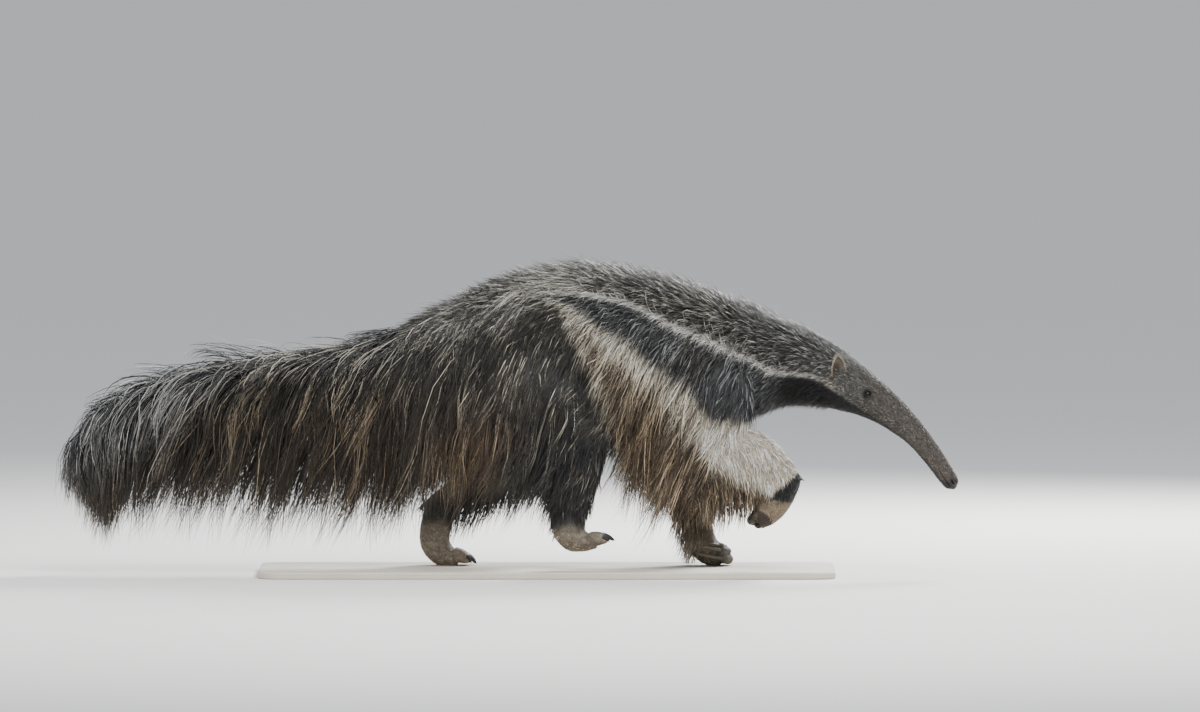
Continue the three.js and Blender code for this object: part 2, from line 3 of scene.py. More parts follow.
import bpy
import numpy as np
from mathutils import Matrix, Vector


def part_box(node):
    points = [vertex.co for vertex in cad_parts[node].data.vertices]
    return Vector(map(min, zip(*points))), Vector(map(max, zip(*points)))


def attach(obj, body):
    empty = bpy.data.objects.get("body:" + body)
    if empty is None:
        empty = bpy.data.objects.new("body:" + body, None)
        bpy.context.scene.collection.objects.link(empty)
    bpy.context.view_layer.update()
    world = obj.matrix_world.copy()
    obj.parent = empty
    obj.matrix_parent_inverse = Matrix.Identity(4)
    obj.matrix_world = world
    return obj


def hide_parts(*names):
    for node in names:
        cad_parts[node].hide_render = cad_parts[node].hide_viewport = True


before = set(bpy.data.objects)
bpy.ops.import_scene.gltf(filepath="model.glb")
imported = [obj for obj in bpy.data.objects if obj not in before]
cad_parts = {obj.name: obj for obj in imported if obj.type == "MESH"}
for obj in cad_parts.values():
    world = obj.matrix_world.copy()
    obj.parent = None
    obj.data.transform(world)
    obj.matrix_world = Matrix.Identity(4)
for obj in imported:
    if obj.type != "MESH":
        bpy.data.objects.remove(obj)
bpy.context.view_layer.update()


# ---- Display board ----
# A flat board of sealed fibreboard, 14 mm thick, with rounded corners and a small bevel.
# It is painted a warm pale grey by roller, so the paint is matt with a faint orange-peel grain.

base_low, base_high = (np.array(corner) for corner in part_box("stand_base"))
BOARD_MIDDLE = 70.0  # where the board's middle lies ahead of the animal's own zero, in mm
ORIGIN = np.array([*(base_low + base_high)[:2] / 2, base_high[2]]) - [BOARD_MIDDLE / 1000, 0, 0]


def linear(colour):
    """Each channel of an 8-bit colour, as (value / 255) ^ 2.2."""
    return (np.asarray(colour, float) / 255) ** 2.2


def add_node(tree, kind, links=None, values=None, **settings):
    """A node with its settings, its input values, and links from other nodes' outputs."""
    node = tree.nodes.new("ShaderNode" + kind)
    for key, value in settings.items():
        setattr(node, key, value)
    for key, value in (values or {}).items():
        node.inputs[key].default_value = value
    for key, output in (links or {}).items():
        tree.links.new(output, node.inputs[key])
    return node


def source(tree, kind, stops=None):
    """A mesh's attribute, or noise (scale, detail, stretch) over the object's own coordinates, each
    axis multiplied by stretch; under a ramp through stops of (place, 8-bit colour) if there are any."""
    if isinstance(kind, str):
        made = add_node(tree, "Attribute", attribute_name=kind).outputs["Fac" if stops else "Color"]
    else:
        place = add_node(tree, "TexCoord").outputs["Object"]
        sized = add_node(tree, "Mapping", {"Vector": place}, {"Scale": kind[2]}).outputs["Vector"]
        values = {"Scale": kind[0], "Detail": kind[1]}
        made = add_node(tree, "TexNoise", {"Vector": sized}, values).outputs["Fac"]
    if not stops:
        return made
    node = add_node(tree, "ValToRGB", {"Fac": made})
    while len(node.color_ramp.elements) < len(stops):
        node.color_ramp.elements.new(0.5)
    for element, (place, colour) in zip(node.color_ramp.elements, stops):
        element.position = place
        element.color = (*linear(colour), 1)
    return node.outputs["Color"]


def new_material(name, colours, bumps=None, **values):
    """A material whose main shader has these values, the product of these colours, each given as
    source takes it, and bumps as (noise, strength, distance)."""
    material = bpy.data.materials.new(name)
    material.use_nodes = True
    tree = material.node_tree
    shader = tree.nodes["Principled BSDF"]
    for socket, value in values.items():
        shader.inputs[socket.replace("_", " ")].default_value = value
    made = [source(tree, *colour) for colour in colours]
    while len(made) > 1:
        pair = {6: made.pop(0), 7: made.pop(0)}
        mixed = add_node(tree, "Mix", pair, {0: 1}, data_type="RGBA", blend_type="MULTIPLY")
        made.insert(0, mixed.outputs[2])
    for colour in made:
        tree.links.new(colour, shader.inputs["Base Color"])
    if bumps:
        height, strength, distance = source(tree, bumps[0]), *bumps[1:]
        bump = add_node(tree, "Bump", {"Height": height}, {"Strength": strength, "Distance": distance})
        tree.links.new(bump.outputs["Normal"], shader.inputs["Normal"])
    return material


EVEN = (1, 1, 1)  # noise that is as fine along every axis
paint = new_material("roller_paint", [
    ((9, 3, EVEN), [(0.35, (196, 187, 174)), (0.65, (204, 196, 183))]),
], ((700, 2, EVEN), 0.25, 0.0004), Roughness=0.62)
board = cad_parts["stand_base"]
board.data.materials.clear()
board.data.materials.append(paint)


# ---- Body ----
# Muscle and hide under the coat: tail, trunk, neck and four legs, one soft skin without a seam.
# Real hide is 2 to 4 mm thick and takes the colours of the hair that grows from it, darkened as painted
# shade under the coat.
# Lengths below are in mm: x ahead of the animal's zero, y to its left, z above the board.

# The spine from tail tip to snout tip: centre x, y, z, then half width, reach up and reach down
SPINE = np.array([
    [-872, 26, 272, 9, 12, 42], [-840, 24, 294, 18, 22, 78], [-780, 20, 328, 27, 28, 108],
    [-700, 14, 352, 33, 32, 128], [-600, 8, 370, 38, 35, 140], [-500, 4, 381, 42, 37, 146],
    [-400, 1, 391, 46, 40, 146], [-310, 0, 404, 54, 46, 142], [-232, 0, 418, 70, 60, 136],
    [-165, 0, 430, 92, 92, 130], [-88, 0, 436, 112, 120, 132], [14, 0, 448, 124, 148, 150],
    [127, 0, 460, 126, 158, 166], [240, 0, 454, 124, 153, 168], [356, 0, 436, 117, 139, 150],
    [428, 0, 425, 108, 124, 133], [484, -2, 421, 91, 113, 112], [547, -6, 418, 72, 90, 89],
    [597, -12, 408, 62, 75, 75], [646, -19, 391, 53, 64, 62], [688, -26, 372, 46, 55, 53],
    [728, -33, 351, 38, 45, 43], [772, -41, 322, 31, 36, 34], [815, -50, 284, 26, 28.5, 27],
    [857, -59, 235, 22.5, 23, 22], [890, -66, 188, 20, 19.5, 19], [903, -69, 168, 14, 14, 13],
], float)
# How deep the hide lies under those reaches, at the sides, above and below, row by row
UNDERCOAT = np.array([
    [3, 4, 16], [5, 6, 38], [7, 7, 56], [8, 8, 66], [9, 8, 70], [10, 8, 70], [10, 8, 66], [10, 8, 54],
    [9, 7, 36], [8, 7, 20], *[[7, 6, 10]] * 6, [6, 6, 7], [5, 5, 6], [4, 4, 5], *[[2, 2, 2]] * 8,
], float)
# Each length of a leg: rows like the spine's, with reach to the fore and to the back
LEGS = {
    "thigh_left": [
        [-30, 60, 440, 46, 84, 84], [-8, 86, 372, 60, 92, 112], [22, 94, 308, 58, 80, 104],
        [44, 94, 252, 50, 62, 84], [46, 93, 200, 42, 46, 66],
    ],
    "shank_left": [
        [80, 93, 286, 46, 40, 52], [40, 93, 246, 48, 52, 60], [-22, 90, 206, 44, 50, 48],
        [-86, 87, 166, 37, 42, 40], [-140, 84, 128, 32, 34, 36], [-180, 83, 96, 30, 32, 34],
    ],
    "foot_left": [
        [-118, 84, 146, 29, 30, 30], [-148, 84, 112, 31, 34, 34], [-160, 84, 74, 31, 33, 34],
        [-158, 84, 44, 34, 30, 34], [-138, 84, 22, 37, 24, 30], [-112, 84, 16, 38, 15, 24],
    ],
    "thigh_right": [
        [-30, -60, 446, 46, 84, 84], [16, -88, 386, 62, 98, 112], [72, -98, 334, 60, 90, 108],
        [118, -100, 288, 52, 74, 92], [160, -100, 240, 46, 60, 74],
    ],
    "shank_right": [
        [130, -100, 350, 46, 50, 60], [134, -100, 282, 50, 62, 74], [132, -98, 215, 44, 56, 62],
        [124, -96, 150, 37, 44, 50], [117, -94, 104, 33, 37, 39], [114, -93, 66, 31, 32, 36],
    ],
    "foot_right": [
        [124, -94, 132, 32, 34, 36], [114, -93, 94, 32, 34, 38], [122, -93, 66, 34, 30, 30],
        [146, -93, 57, 36, 24, 21], [170, -93, 60, 36, 16, 17],
    ],
    "arm_left": [
        [432, 58, 424, 34, 58, 60], [424, 82, 370, 46, 66, 80], [404, 90, 300, 50, 64, 92],
        [384, 90, 236, 48, 58, 84], [378, 87, 180, 45, 54, 68],
    ],
    "forearm_left": [
        [386, 89, 252, 46, 56, 76], [376, 88, 206, 47, 56, 70], [374, 84, 150, 43, 48, 56],
        [377, 80, 100, 37, 38, 40], [383, 78, 62, 33, 31, 32], [388, 77, 34, 31, 28, 28],
    ],
    "paw_left": [
        [381, 78, 84, 31, 30, 31], [386, 77, 56, 33, 31, 32], [398, 76, 36, 35, 30, 33],
        [416, 75, 27, 35, 25, 32], [430, 74, 24, 33, 17, 27],
    ],
    "arm_right": [
        [436, -58, 424, 34, 56, 62], [434, -84, 372, 46, 64, 88], [422, -94, 306, 54, 70, 104],
        [401, -98, 236, 52, 66, 96], [380, -98, 170, 46, 56, 80],
    ],
    "forearm_right": [
        [334, -98, 232, 44, 60, 64], [392, -98, 222, 52, 82, 84], [447, -98, 214, 54, 91, 84],
        [498, -96, 200, 50, 82, 66], [537, -94, 182, 43, 60, 46], [573, -92, 158, 37, 40, 34],
    ],
    "paw_right": [
        [567, -92, 206, 36, 33, 36], [553, -91, 170, 36, 33, 36], [537, -90, 138, 36, 32, 38],
        [517, -89, 114, 35, 28, 32], [500, -88, 100, 30, 20, 22],
    ],
}
# How deep the hide lies under a length's reaches, and how many rows from its first and from its
# last row its flesh begins and ends
LENGTHS = {"thigh": (10, 0, 0.4), "arm": (8, 0, 0.4), "shank": (5, 0.5, 0.3), "forearm": (6, 0.9, 0),
           "foot": (2.5, 0.6, 0), "paw": (2.5, 0.6, 0)}
TRUNK_SQUARE, LEG_SQUARE = 2.2, 2.1  # how square a tube's section is; 2 is an ellipse


def in_frame(rows):
    """Rows in metres, moved to the display board: place / 1000 + origin, reach / 1000."""
    rows = np.asarray(rows, float) / 1000
    rows[:, :3] += ORIGIN
    return rows


def spline(rows, at):
    """A Catmull-Rom curve through rows, mirrored past its ends. On a span from b to c with
    neighbours a and d and share t, the slopes are (c - a) / 2 and (d - b) / 2, and the point is
    (2t^3 - 3t^2 + 1) b + (t^3 - 2t^2 + t) slope1 + (3t^2 - 2t^3) c + (t^3 - t^2) slope2."""
    padded = np.vstack([2 * rows[0] - rows[1], rows, 2 * rows[-1] - rows[-2]])
    at = np.clip(at, 0, len(rows) - 1)
    first = np.minimum(at.astype(int), len(rows) - 2)
    t = (at - first)[..., None]
    a, b, c, d = (padded[first + k] for k in range(4))
    ends = (2 * t**3 - 3 * t**2 + 1) * b + (3 * t**2 - 2 * t**3) * c
    return ends + (t**3 - 2 * t**2 + t) * (c - a) / 2 + (t**3 - t**2) * (d - b) / 2


def unit(vectors):
    """Each vector over its own length."""
    return vectors / np.maximum(np.linalg.norm(vectors, axis=-1, keepdims=True), 1e-12)


def axes(rows, at):
    """Centre, reaches and axes at a row. The run is the centre line's slope, side is -Y made
    square to it, and fore is side x run. Past the ends the centre goes straight on."""
    at = np.asarray(at, float)
    whole = spline(rows, at)
    inside = np.clip(at, 1e-3, len(rows) - 1.001)
    run = unit(spline(rows[:, :3], inside + 1e-3) - spline(rows[:, :3], inside - 1e-3))
    past = (at - np.clip(at, 0, len(rows) - 1))[..., None] * np.linalg.norm(rows[1] - rows[0])
    side = unit(np.array([0, -1, 0]) + run * run[..., 1:2])
    return whole[..., :3] + past * run, whole[..., 3:], run, side, np.cross(side, run)


def on_tube(rows, at, angle, grow=0.0):
    """A point on a soft tube: centre + side (half width + grow) s(sin angle)
    + fore (reach + grow) s(cos angle), where s keeps the sign and takes the power 2 / squareness."""
    centre, reach, _, side, fore = axes(rows, at)
    power = 2 / (TRUNK_SQUARE if rows is hide else LEG_SQUARE)
    across, ahead = (np.sign(v) * np.abs(v) ** power for v in (np.sin(angle), np.cos(angle)))
    depth = np.where(np.cos(angle) > 0, reach[..., 1], reach[..., 2]) + grow
    wide = (reach[..., 0] + grow) * across
    return centre + side * wide[..., None] + fore * (depth * ahead)[..., None]


def closed_grid(points):
    """Vertices and faces of a grid of rings, with a fan over each end. points is rings x round x 3,
    and face (i, j) joins ring i and ring i + 1 between spokes j and j + 1."""
    rings, spokes, _ = points.shape
    ids = np.arange(rings * spokes).reshape(rings, spokes)
    turned = np.roll(ids, -1, axis=1)
    walls = np.stack([ids[:-1], ids[1:], turned[1:], turned[:-1]], -1).reshape(-1, 4)
    ends = [points[0].mean(0), points[-1].mean(0)]
    first, last = rings * spokes, rings * spokes + 1
    low = np.stack([ids[0], turned[0], np.full(spokes, first)], -1)
    high = np.stack([turned[-1], ids[-1], np.full(spokes, last)], -1)
    return np.vstack([points.reshape(-1, 3), ends]), walls, np.vstack([low, high])


def add_piece(name, points, *faces):
    """A piece from its vertices and arrays of faces, each array with one count of corners."""
    mesh = bpy.data.meshes.new(name)
    sizes = np.concatenate([np.full(len(group), group.shape[1]) for group in faces])
    corners = np.concatenate([group.ravel() for group in faces]).astype(np.int32)
    mesh.vertices.add(len(points))
    mesh.vertices.foreach_set("co", np.asarray(points, np.float32).ravel())
    mesh.loops.add(len(corners))
    mesh.loops.foreach_set("vertex_index", corners)
    mesh.polygons.add(len(sizes))
    mesh.polygons.foreach_set("loop_start", (np.cumsum(sizes) - sizes).astype(np.int32))
    mesh.update(calc_edges=True)
    mesh.polygons.foreach_set("use_smooth", np.ones(len(sizes), bool))
    piece = bpy.data.objects.new(name, mesh)
    bpy.context.scene.collection.objects.link(piece)
    return piece


def joined(parts):
    """Several (vertices, faces, faces) as one, each one's faces counted on from the last."""
    starts = np.cumsum([0] + [len(part[0]) for part in parts[:-1]])
    groups = [np.vstack([part[k] + start for part, start in zip(parts, starts)]) for k in (1, 2)]
    return np.vstack([part[0] for part in parts]), *groups


def around(count):
    """Angles spread evenly over a whole turn."""
    return np.linspace(0, 2 * np.pi, count, endpoint=False)


def rings_of(first, last, rings, spokes):
    """Rows and angles of a grid on a tube, turning so that closed_grid's faces point outwards."""
    return np.meshgrid(np.linspace(first, last, rings), -around(spokes), indexing="ij")


def tube_shell(rows, first, last, spokes, grow=0.0):
    """A closed stretch of a leg between two rows."""
    return closed_grid(on_tube(rows, *rings_of(first, last, 40, spokes), grow))


def vertices(mesh):
    """A mesh's vertices, as an array."""
    points = np.empty(len(mesh.vertices) * 3)
    mesh.vertices.foreach_get("co", points)
    return points.reshape(-1, 3)


def fused(parts, voxel, passes):
    """The outer skin of overlapping closed shells, on a grid of voxels, then smoothed: vertices,
    faces of four corners, and none of three."""
    rough = add_piece("rough", *joined(parts))
    remesh = rough.modifiers.new("fuse", "REMESH")
    remesh.mode = "VOXEL"
    remesh.voxel_size = voxel
    smooth = rough.modifiers.new("smooth", "SMOOTH")
    smooth.factor, smooth.iterations = 0.5, passes
    evaluated = rough.evaluated_get(bpy.context.evaluated_depsgraph_get())
    mesh = bpy.data.meshes.new_from_object(evaluated)
    points, corners = vertices(mesh), np.empty(len(mesh.loops), np.int64)
    mesh.loops.foreach_get("vertex_index", corners)
    bpy.data.meshes.remove(mesh)
    bpy.data.objects.remove(rough)
    return points, corners.reshape(-1, 4), np.zeros((0, 3), int)


hide = SPINE.copy()
hide[:, 3:] -= UNDERCOAT
hide = in_frame(hide)

# The spine row where the fused skin ends, and how far it is drawn in under the head's own
NECK_END, DRAWN_IN = 19.6, 0.009
at, angle = rings_of(0, NECK_END, 150, 40)
drawn_in = np.interp(at, [NECK_END - 0.5, NECK_END], [0, -DRAWN_IN])
shells = [closed_grid(on_tube(hide, at, angle, drawn_in))]
limbs = {}
for name, rows in LEGS.items():
    under, begins, ends = LENGTHS[name.split("_")[0]]
    rows = np.array(rows, float)
    rows[:, 3:] -= under
    limbs[name] = in_frame(rows)
    shells.append(tube_shell(limbs[name], begins, len(rows) - 1 - ends, 28))
FEET = [name for name in limbs if name.startswith(("foot", "paw"))]

# Claws and toes grow from the end of each foot; these paths are used again for the claws themselves
HIND_CLAW = {"count": 5, "spread": 29, "flare": 3, "taper": 1.2, "start": 12, "clear": 2, "rise": 8,
             "length": 25, "radius": 6.6, "curl": 13}
# Each fore claw: radius of its curl, start and sweep in degrees, radius at the root, height on the
# hand; and each hand: where the curls' hub lies behind its end, their width over depth, their size
FORE_CLAWS = [(30, 40, 60, 4.4, 17), (35, 14, 112, 6.6, 8), (39, 2, 140, 8, -8), (37, -46, 34, 4.4, -11)]
HAND = {"left": (24, 1.18, 1.0), "right": (25, 1.12, 0.84)}
DIGIT_END = 0.42  # how much of a fore claw its digit covers
TOE_PAD = {"ahead": 9, "below": 9.5, "radius": 5.0}
SIDE_SIGN = {"left": -1, "right": 1}


def claw_paths(name, share):
    """Each claw's path over share, with the direction upright to its curl and its root radius.
    Hind ones fan out: middle + side spread + run (start + length share) - fore curl share^2,
    the outer ones shorter by taper x spread^2.
    Fore ones curl: hub + run R cos t + side R wide sin t, with t from start over sweep."""
    part, side = name.split("_")
    rows = limbs[name]
    middle, _, run, aside, fore = axes(rows, len(rows) - 1)
    share = np.asarray(share, float)[:, None]
    made = []
    if part == "foot":
        toe = HIND_CLAW
        for spread in np.linspace(-0.5, 0.5, toe["count"]):
            size = 1 - toe["taper"] * spread**2
            out = 2 * spread * (toe["spread"] + toe["flare"] * share)
            ahead = toe["start"] * size + toe["clear"] + toe["length"] * size * share
            high = toe["rise"] - toe["curl"] * share**2
            path = middle + (aside * out + run * ahead + fore * high) / 1000
            made.append((path, aside, toe["radius"]))
    else:
        behind, wide, size = HAND[side]
        for curl, start, sweep, radius, high in FORE_CLAWS:
            turn = np.radians(start + sweep * share)
            ahead = size * curl * np.cos(turn) - behind
            out = -SIDE_SIGN[side] * size * curl * wide * np.sin(turn)
            made.append((middle + (run * ahead + aside * out + fore * high) / 1000, fore, radius))
    return made


TOE_BACK, TOE_ON = 0.026, 0.004  # how far a toe reaches back into the foot and on over its claw


def round_shell(path, run, upright, size, spokes=16, deep=1.0):
    """A closed shell of rings about a path, each square to run: size (mm) x (across sin t +
    deep up cos t), with up as near upright as it can be."""
    up = unit(upright - run * (run @ upright)[:, None])
    turn = -around(spokes)[None, :, None]
    wheel = np.cross(run, up)[:, None] * np.sin(turn) + deep * up[:, None] * np.cos(turn)
    return closed_grid(path[:, None] + size[:, None] / 1000 * wheel)


def blunt(share):
    """A width that is rounded off at both ends: (1 - (2 share - 1)^4)^(1/2)."""
    return np.sqrt(1 - np.clip(2 * share - 1, -0.97, 0.97) ** 4)


def toe_shell(start, along, run, upright, radius):
    """A toe: blunt rings about a line from inside the foot to the root of the claw, which bends
    from the foot's run to the claw's."""
    share = np.linspace(0, 1, 9)[:, None]
    back = unit(run * (1 - share) + along * share)
    centre = start - back * TOE_BACK * (1 - share) + along * TOE_ON * share
    return round_shell(centre, back, upright, radius * (1.75 - 0.5 * share) * blunt(share))


def digit_shell(path, upright, radius):
    """A fore foot's digit, folded with its claw: blunt rings about the claw's own path, which
    leave the claw's outer half bare."""
    share = np.linspace(0, 1, len(path))[:, None]
    size = radius * (1.5 - 0.35 * share) * blunt(share)
    return round_shell(path, unit(np.gradient(path, axis=0)), upright, size)


feet = []
for name in FEET:
    rows = limbs[name]
    feet.append(tube_shell(rows, 0.5, len(rows) - 1, 30, 0.0006))
    _, _, run, _, fore = axes(rows, len(rows) - 1)
    for path, upright, radius in claw_paths(name, [0, 0.02]):
        feet.append(toe_shell(path[0], unit(path[1] - path[0]), run, upright, radius))
        if name.startswith("foot"):
            pad = path[0] + (run * TOE_PAD["ahead"] - fore * TOE_PAD["below"]) / 1000
            feet.append(toe_shell(pad, run, run, upright, TOE_PAD["radius"]))
    if name.startswith("paw"):
        feet += [digit_shell(*made) for made in claw_paths(name, np.linspace(-0.1, DIGIT_END, 10))]

BODY_VOXEL, FOOT_VOXEL, BODY_PASSES, FOOT_PASSES = 0.0062, 0.0029, 8, 3
body = fused(shells, BODY_VOXEL, BODY_PASSES)
feet = fused(feet, FOOT_VOXEL, FOOT_PASSES)


# ---- Head ----
# A long curved snout: short hair over hide, bare at the nose, with a small mouth slit at the tip,
# slit nostrils, a crease along the jaw, a low brow and a hollow for each eye.
# It carries on the same skin as the neck, and is modelled finer.

MOUTH = {"row": 24.6, "below": 6.5, "slit": 0.9, "deep": 2.6, "lip": 2.8, "swell": 1.1}
NOSTRIL = {"row": 25.5, "angle": 50, "roll": 28, "long": 6.2, "wide": 2.1, "deep": 5.0, "rim": 1.5}
EYE = {"row": 21.0, "angle": 84, "radius": 8.5, "sunk": 4.6, "hollow": 3.4, "brow": 2.4}
LID_FOLDS = (10.5, 0.9, 1.0), (13.5, 1.0, 0.8), (16.5, 1.1, 0.5)  # distance, width and share of FOLD
FOLD = 1.1  # how high the folds over an eye stand, in mm
EAR = {"row": 19.42, "angle": 76, "tilt": 24, "lean": -24}
JAW_CREASE = ([690, 745, 799, 845, 880], [322, 296, 264, 224, 186])  # x, then z, in mm


def ease(value, low, high):
    """0 below low, 1 above high, and 3t^2 - 2t^3 between."""
    t = np.clip((value - low) / (high - low), 0, 1)
    return t * t * (3 - 2 * t)


def fall(value, low, high):
    """1 below low and 0 above high, the same curve turned round."""
    return ease(-value, -high, -low)


def bell(value, width):
    """exp(-(value / width)^2)."""
    return np.exp(-((value / width) ** 2))


def spot(row, angle):
    """A place on the head, with its outward direction and its forward and upward ones."""
    place = on_tube(hide, np.array(row), np.radians(angle))
    centre, _, run, _, fore = axes(hide, np.array(row))
    out = unit(place - centre)
    ahead = unit(run - out * (run @ out))
    return place, out, ahead, np.cross(ahead, out) * np.sign(np.cross(ahead, out) @ fore)


def from_nostril(points, sign):
    """Distance from a nostril's middle, over its own length and width. Both nostrils are rolled to
    the right with the tip of the snout, which the animal carries a little twisted."""
    place, _, ahead, up = spot(NOSTRIL["row"], sign * NOSTRIL["angle"] + NOSTRIL["roll"])
    off = (points - place) * 1000
    return np.hypot(off @ ahead / NOSTRIL["long"], (off @ up - 0.03 * (off @ ahead) ** 2) / NOSTRIL["wide"])


def in_mm(points):
    """x, y and z of points in mm, from the animal's own zero."""
    return np.moveaxis((points - ORIGIN) * 1000, -1, 0)


def socket(fro, high):
    """How deep the hollow for an eye is, so far ahead of its middle and so far above it, in mm."""
    return EYE["hollow"] * bell(fro, 11) * bell(high, 8)


def relief(points):
    """How far the head's skin stands out, in mm, as a sum of bells round the mouth, nose, eyes,
    brows and jaw, each over the distance from its own line or middle."""
    x, _, z = in_mm(points)
    centre, _, run, _, fore = axes(hide, np.array(MOUTH["row"]))
    from_jaw = (points - centre) * 1000
    above = from_jaw @ fore + MOUTH["below"]
    mouth = ease(from_jaw @ run, 0, 7)
    height = -MOUTH["deep"] * bell(above, MOUTH["slit"]) * mouth
    height += MOUTH["swell"] * bell(np.abs(above) - MOUTH["lip"], 1.8) * mouth
    crease = z - np.interp(x, *JAW_CREASE)
    height += (0.7 * bell(crease - 8, 5) - 1.3 * bell(crease, 3.2)) * ease(x, 692, 730) * fall(x, 830, 872)
    for sign in SIDE_SIGN.values():
        reach = from_nostril(points, sign)
        height += -NOSTRIL["deep"] * np.exp(-1.3 * reach**2) + NOSTRIL["rim"] * bell(reach - 1.75, 0.5)
        place, _, ahead, up = spot(EYE["row"], sign * EYE["angle"])
        off = (points - place) * 1000
        fro, high = off @ ahead, off @ up
        near = bell(np.linalg.norm(off, axis=-1), 26)
        brow = EYE["brow"] * bell(fro + 2, 17) * bell(high - 12, 5.5)
        cheek = bell(fro, 14) * bell(high + 11, 5)
        height += near * (brow + cheek - socket(fro, high))
        ring = np.hypot(fro / 1.35, high)
        folds = sum(share * bell(ring - far, wide) for far, wide, share in LID_FOLDS)
        height += FOLD * folds * ease(high, 0, 5) - 0.6 * bell(ring - 12, 0.8) * fall(high, -6, -2)
        place = spot(EAR["row"], sign * EAR["angle"])[0]
        height += bell(np.linalg.norm(points - place, axis=-1) * 1000, 17)
    return height


# The head's skin begins inside the neck's, tucked in, and is rounded off from the last of these rows
HEAD_START, HEAD_END, TIP_START, TUCK = 18.9, 26.09, 25.5, 0.007
at, angle = rings_of(HEAD_START, HEAD_END, 200, 144)
at = HEAD_START + (HEAD_END - HEAD_START) * ((at - HEAD_START) / (HEAD_END - HEAD_START)) ** 0.9
tucked = np.interp(at, [HEAD_START, HEAD_START + 0.4], [-TUCK, 0])
head = on_tube(hide, at, angle, tucked + relief(on_tube(hide, at, angle)) / 1000)
centre = axes(hide, at)[0]
tip = np.clip((at - TIP_START) / (HEAD_END - TIP_START), 0, 1)
rounding = np.sqrt(np.clip(1 - tip**2.6, 0.0004, 1))
head = closed_grid(centre + (head - centre) * rounding[..., None])


# ---- Coat colours ----
# Coarse hair that stays straight: grizzled grey-brown on the back, a black stripe edged in white
# from the throat over the shoulder, cream flanks and fore legs, and near-black hind legs and tail.
# Each region has a dark colour, a pale one, the share of pale hairs, and how pale its tips are.

REGIONS = {
    "back": ((17, 18, 20), (184, 179, 168), 0.33, 0.20),
    "saddle": ((58, 53, 47), (238, 233, 218), 0.62, 0.30),
    "nape": ((24, 25, 27), (176, 174, 168), 0.35, 0.20),
    "throat": ((10, 10, 11), (28, 28, 30), 0.20, 0.10),
    "stripe": ((20, 22, 25), (150, 152, 151), 0.32, 0.14),
    "line": ((206, 201, 190), (246, 242, 231), 1.15, 0.30),
    "flank": ((64, 49, 34), (242, 233, 211), 0.62, 0.32),
    "tan": ((42, 34, 28), (182, 165, 139), 0.36, 0.20),
    "fringe": ((38, 31, 25), (186, 164, 134), 0.38, 0.22),
    "rump": ((18, 20, 24), (192, 183, 164), 0.17, 0.12),
    "breech": ((58, 44, 34), (158, 130, 94), 0.34, 0.25),
    "tail": ((23, 20, 18), (150, 134, 111), 0.15, 0.12),
    "ridge": ((24, 25, 28), (190, 184, 170), 0.34, 0.22),
    "tail_end": ((30, 31, 33), (178, 178, 176), 0.38, 0.24),
    "head": ((34, 32, 31), (148, 140, 130), 0.40, 0.20),
    "snout": ((34, 30, 28), (154, 143, 131), 0.40, 0.22),
    # the lip: dark fur under the jaw, and painted shade of the snout's underside
    "lip": ((18, 15, 14), (46, 40, 36), 0.20, 0.10),
    "nose": ((6, 6, 6), (14, 13, 13), 0.20, 0.10),
    "rim": ((84, 77, 70), (136, 127, 115), 0.50, 0.20),
    # the lid: bare dark skin round the eye, spread wide as painted shade round the sunken eye
    "lid": ((26, 22, 20), (44, 38, 34), 0.20, 0.10),
    "cheek": ((82, 76, 68), (194, 185, 166), 0.56, 0.34),
    "fore": ((124, 110, 88), (252, 246, 231), 0.78, 0.30),
    "band": ((5, 5, 6), (14, 14, 16), 0.20, 0.10),
    "hind": ((26, 28, 32), (146, 140, 128), 0.20, 0.12),
    "foot": ((114, 105, 93), (200, 188, 167), 0.46, 0.25),
    "palm": ((120, 105, 86), (184, 168, 142), 0.50, 0.20),
    "knuckle": ((108, 104, 97), (148, 142, 132), 0.50, 0.20),
    "pad": ((52, 36, 29), (78, 56, 45), 0.30, 0.10),
}
REGION_NAMES = list(REGIONS)
DARK, PALE = (np.array([linear(region[k]) for region in REGIONS.values()]) for k in (0, 1))
PALE_SHARE, TIP_SHARE = (np.array([region[k] for region in REGIONS.values()]) for k in (2, 3))
BARE = [REGION_NAMES.index(region) for region in ("nose", "rim", "lid", "knuckle", "pad")]
# Borders of the black stripe, as x then z in mm; its upper one carries the white line
STRIPE_TOP = (
    [74, 146, 215, 262, 310, 357, 404, 451, 488, 506, 527, 553, 580, 605, 634, 646, 709, 760],
    [563, 561, 548, 532, 503, 481, 462, 442, 425, 413, 403, 397, 395, 393, 382, 372, 329, 297],
)
STRIPE_FOOT = (
    [98, 135, 193, 240, 287, 334, 371, 394, 404, 465, 476, 560, 646, 709, 760],
    [550, 532, 489, 466, 423, 395, 362, 325, 311, 311, 306, 310, 315, 290, 250],
)
FLANK_REAR = ([243, 325, 386, 436, 489, 550], [214, 188, 166, 142, 122, 78])  # z, then x
# Where the near fore leg turns from cream to brown, and the black wedge over its wrist
CREAM_FOOT = ([383, 408, 455, 517, 547], [263, 218, 186, 157, 130])
BAND_TOP = ([520, 527, 561, 583, 600], [144, 152, 181, 199, 212])
BAND_FOOT = ([520, 532, 567, 600], [144, 144, 138, 132])
PAD = {"x": 510, "z": 104, "slope": -41, "long": 25, "wide": 14}
# The rump's upper border, the throat's, and how far the dark band of the lip, dark fur with painted shade
# under the snout, reaches over the crease of the jaw
RUMP_TOP = ([-230, -100, 0, 100], [452, 480, 508, 552])
THROAT_TOP = ([560, 600, 682, 730, 745], [325, 338, 325, 303, 290])
JAW_FUR_AND_SHADE_TOP = ([690, 820, 880], [17, 7, -5])


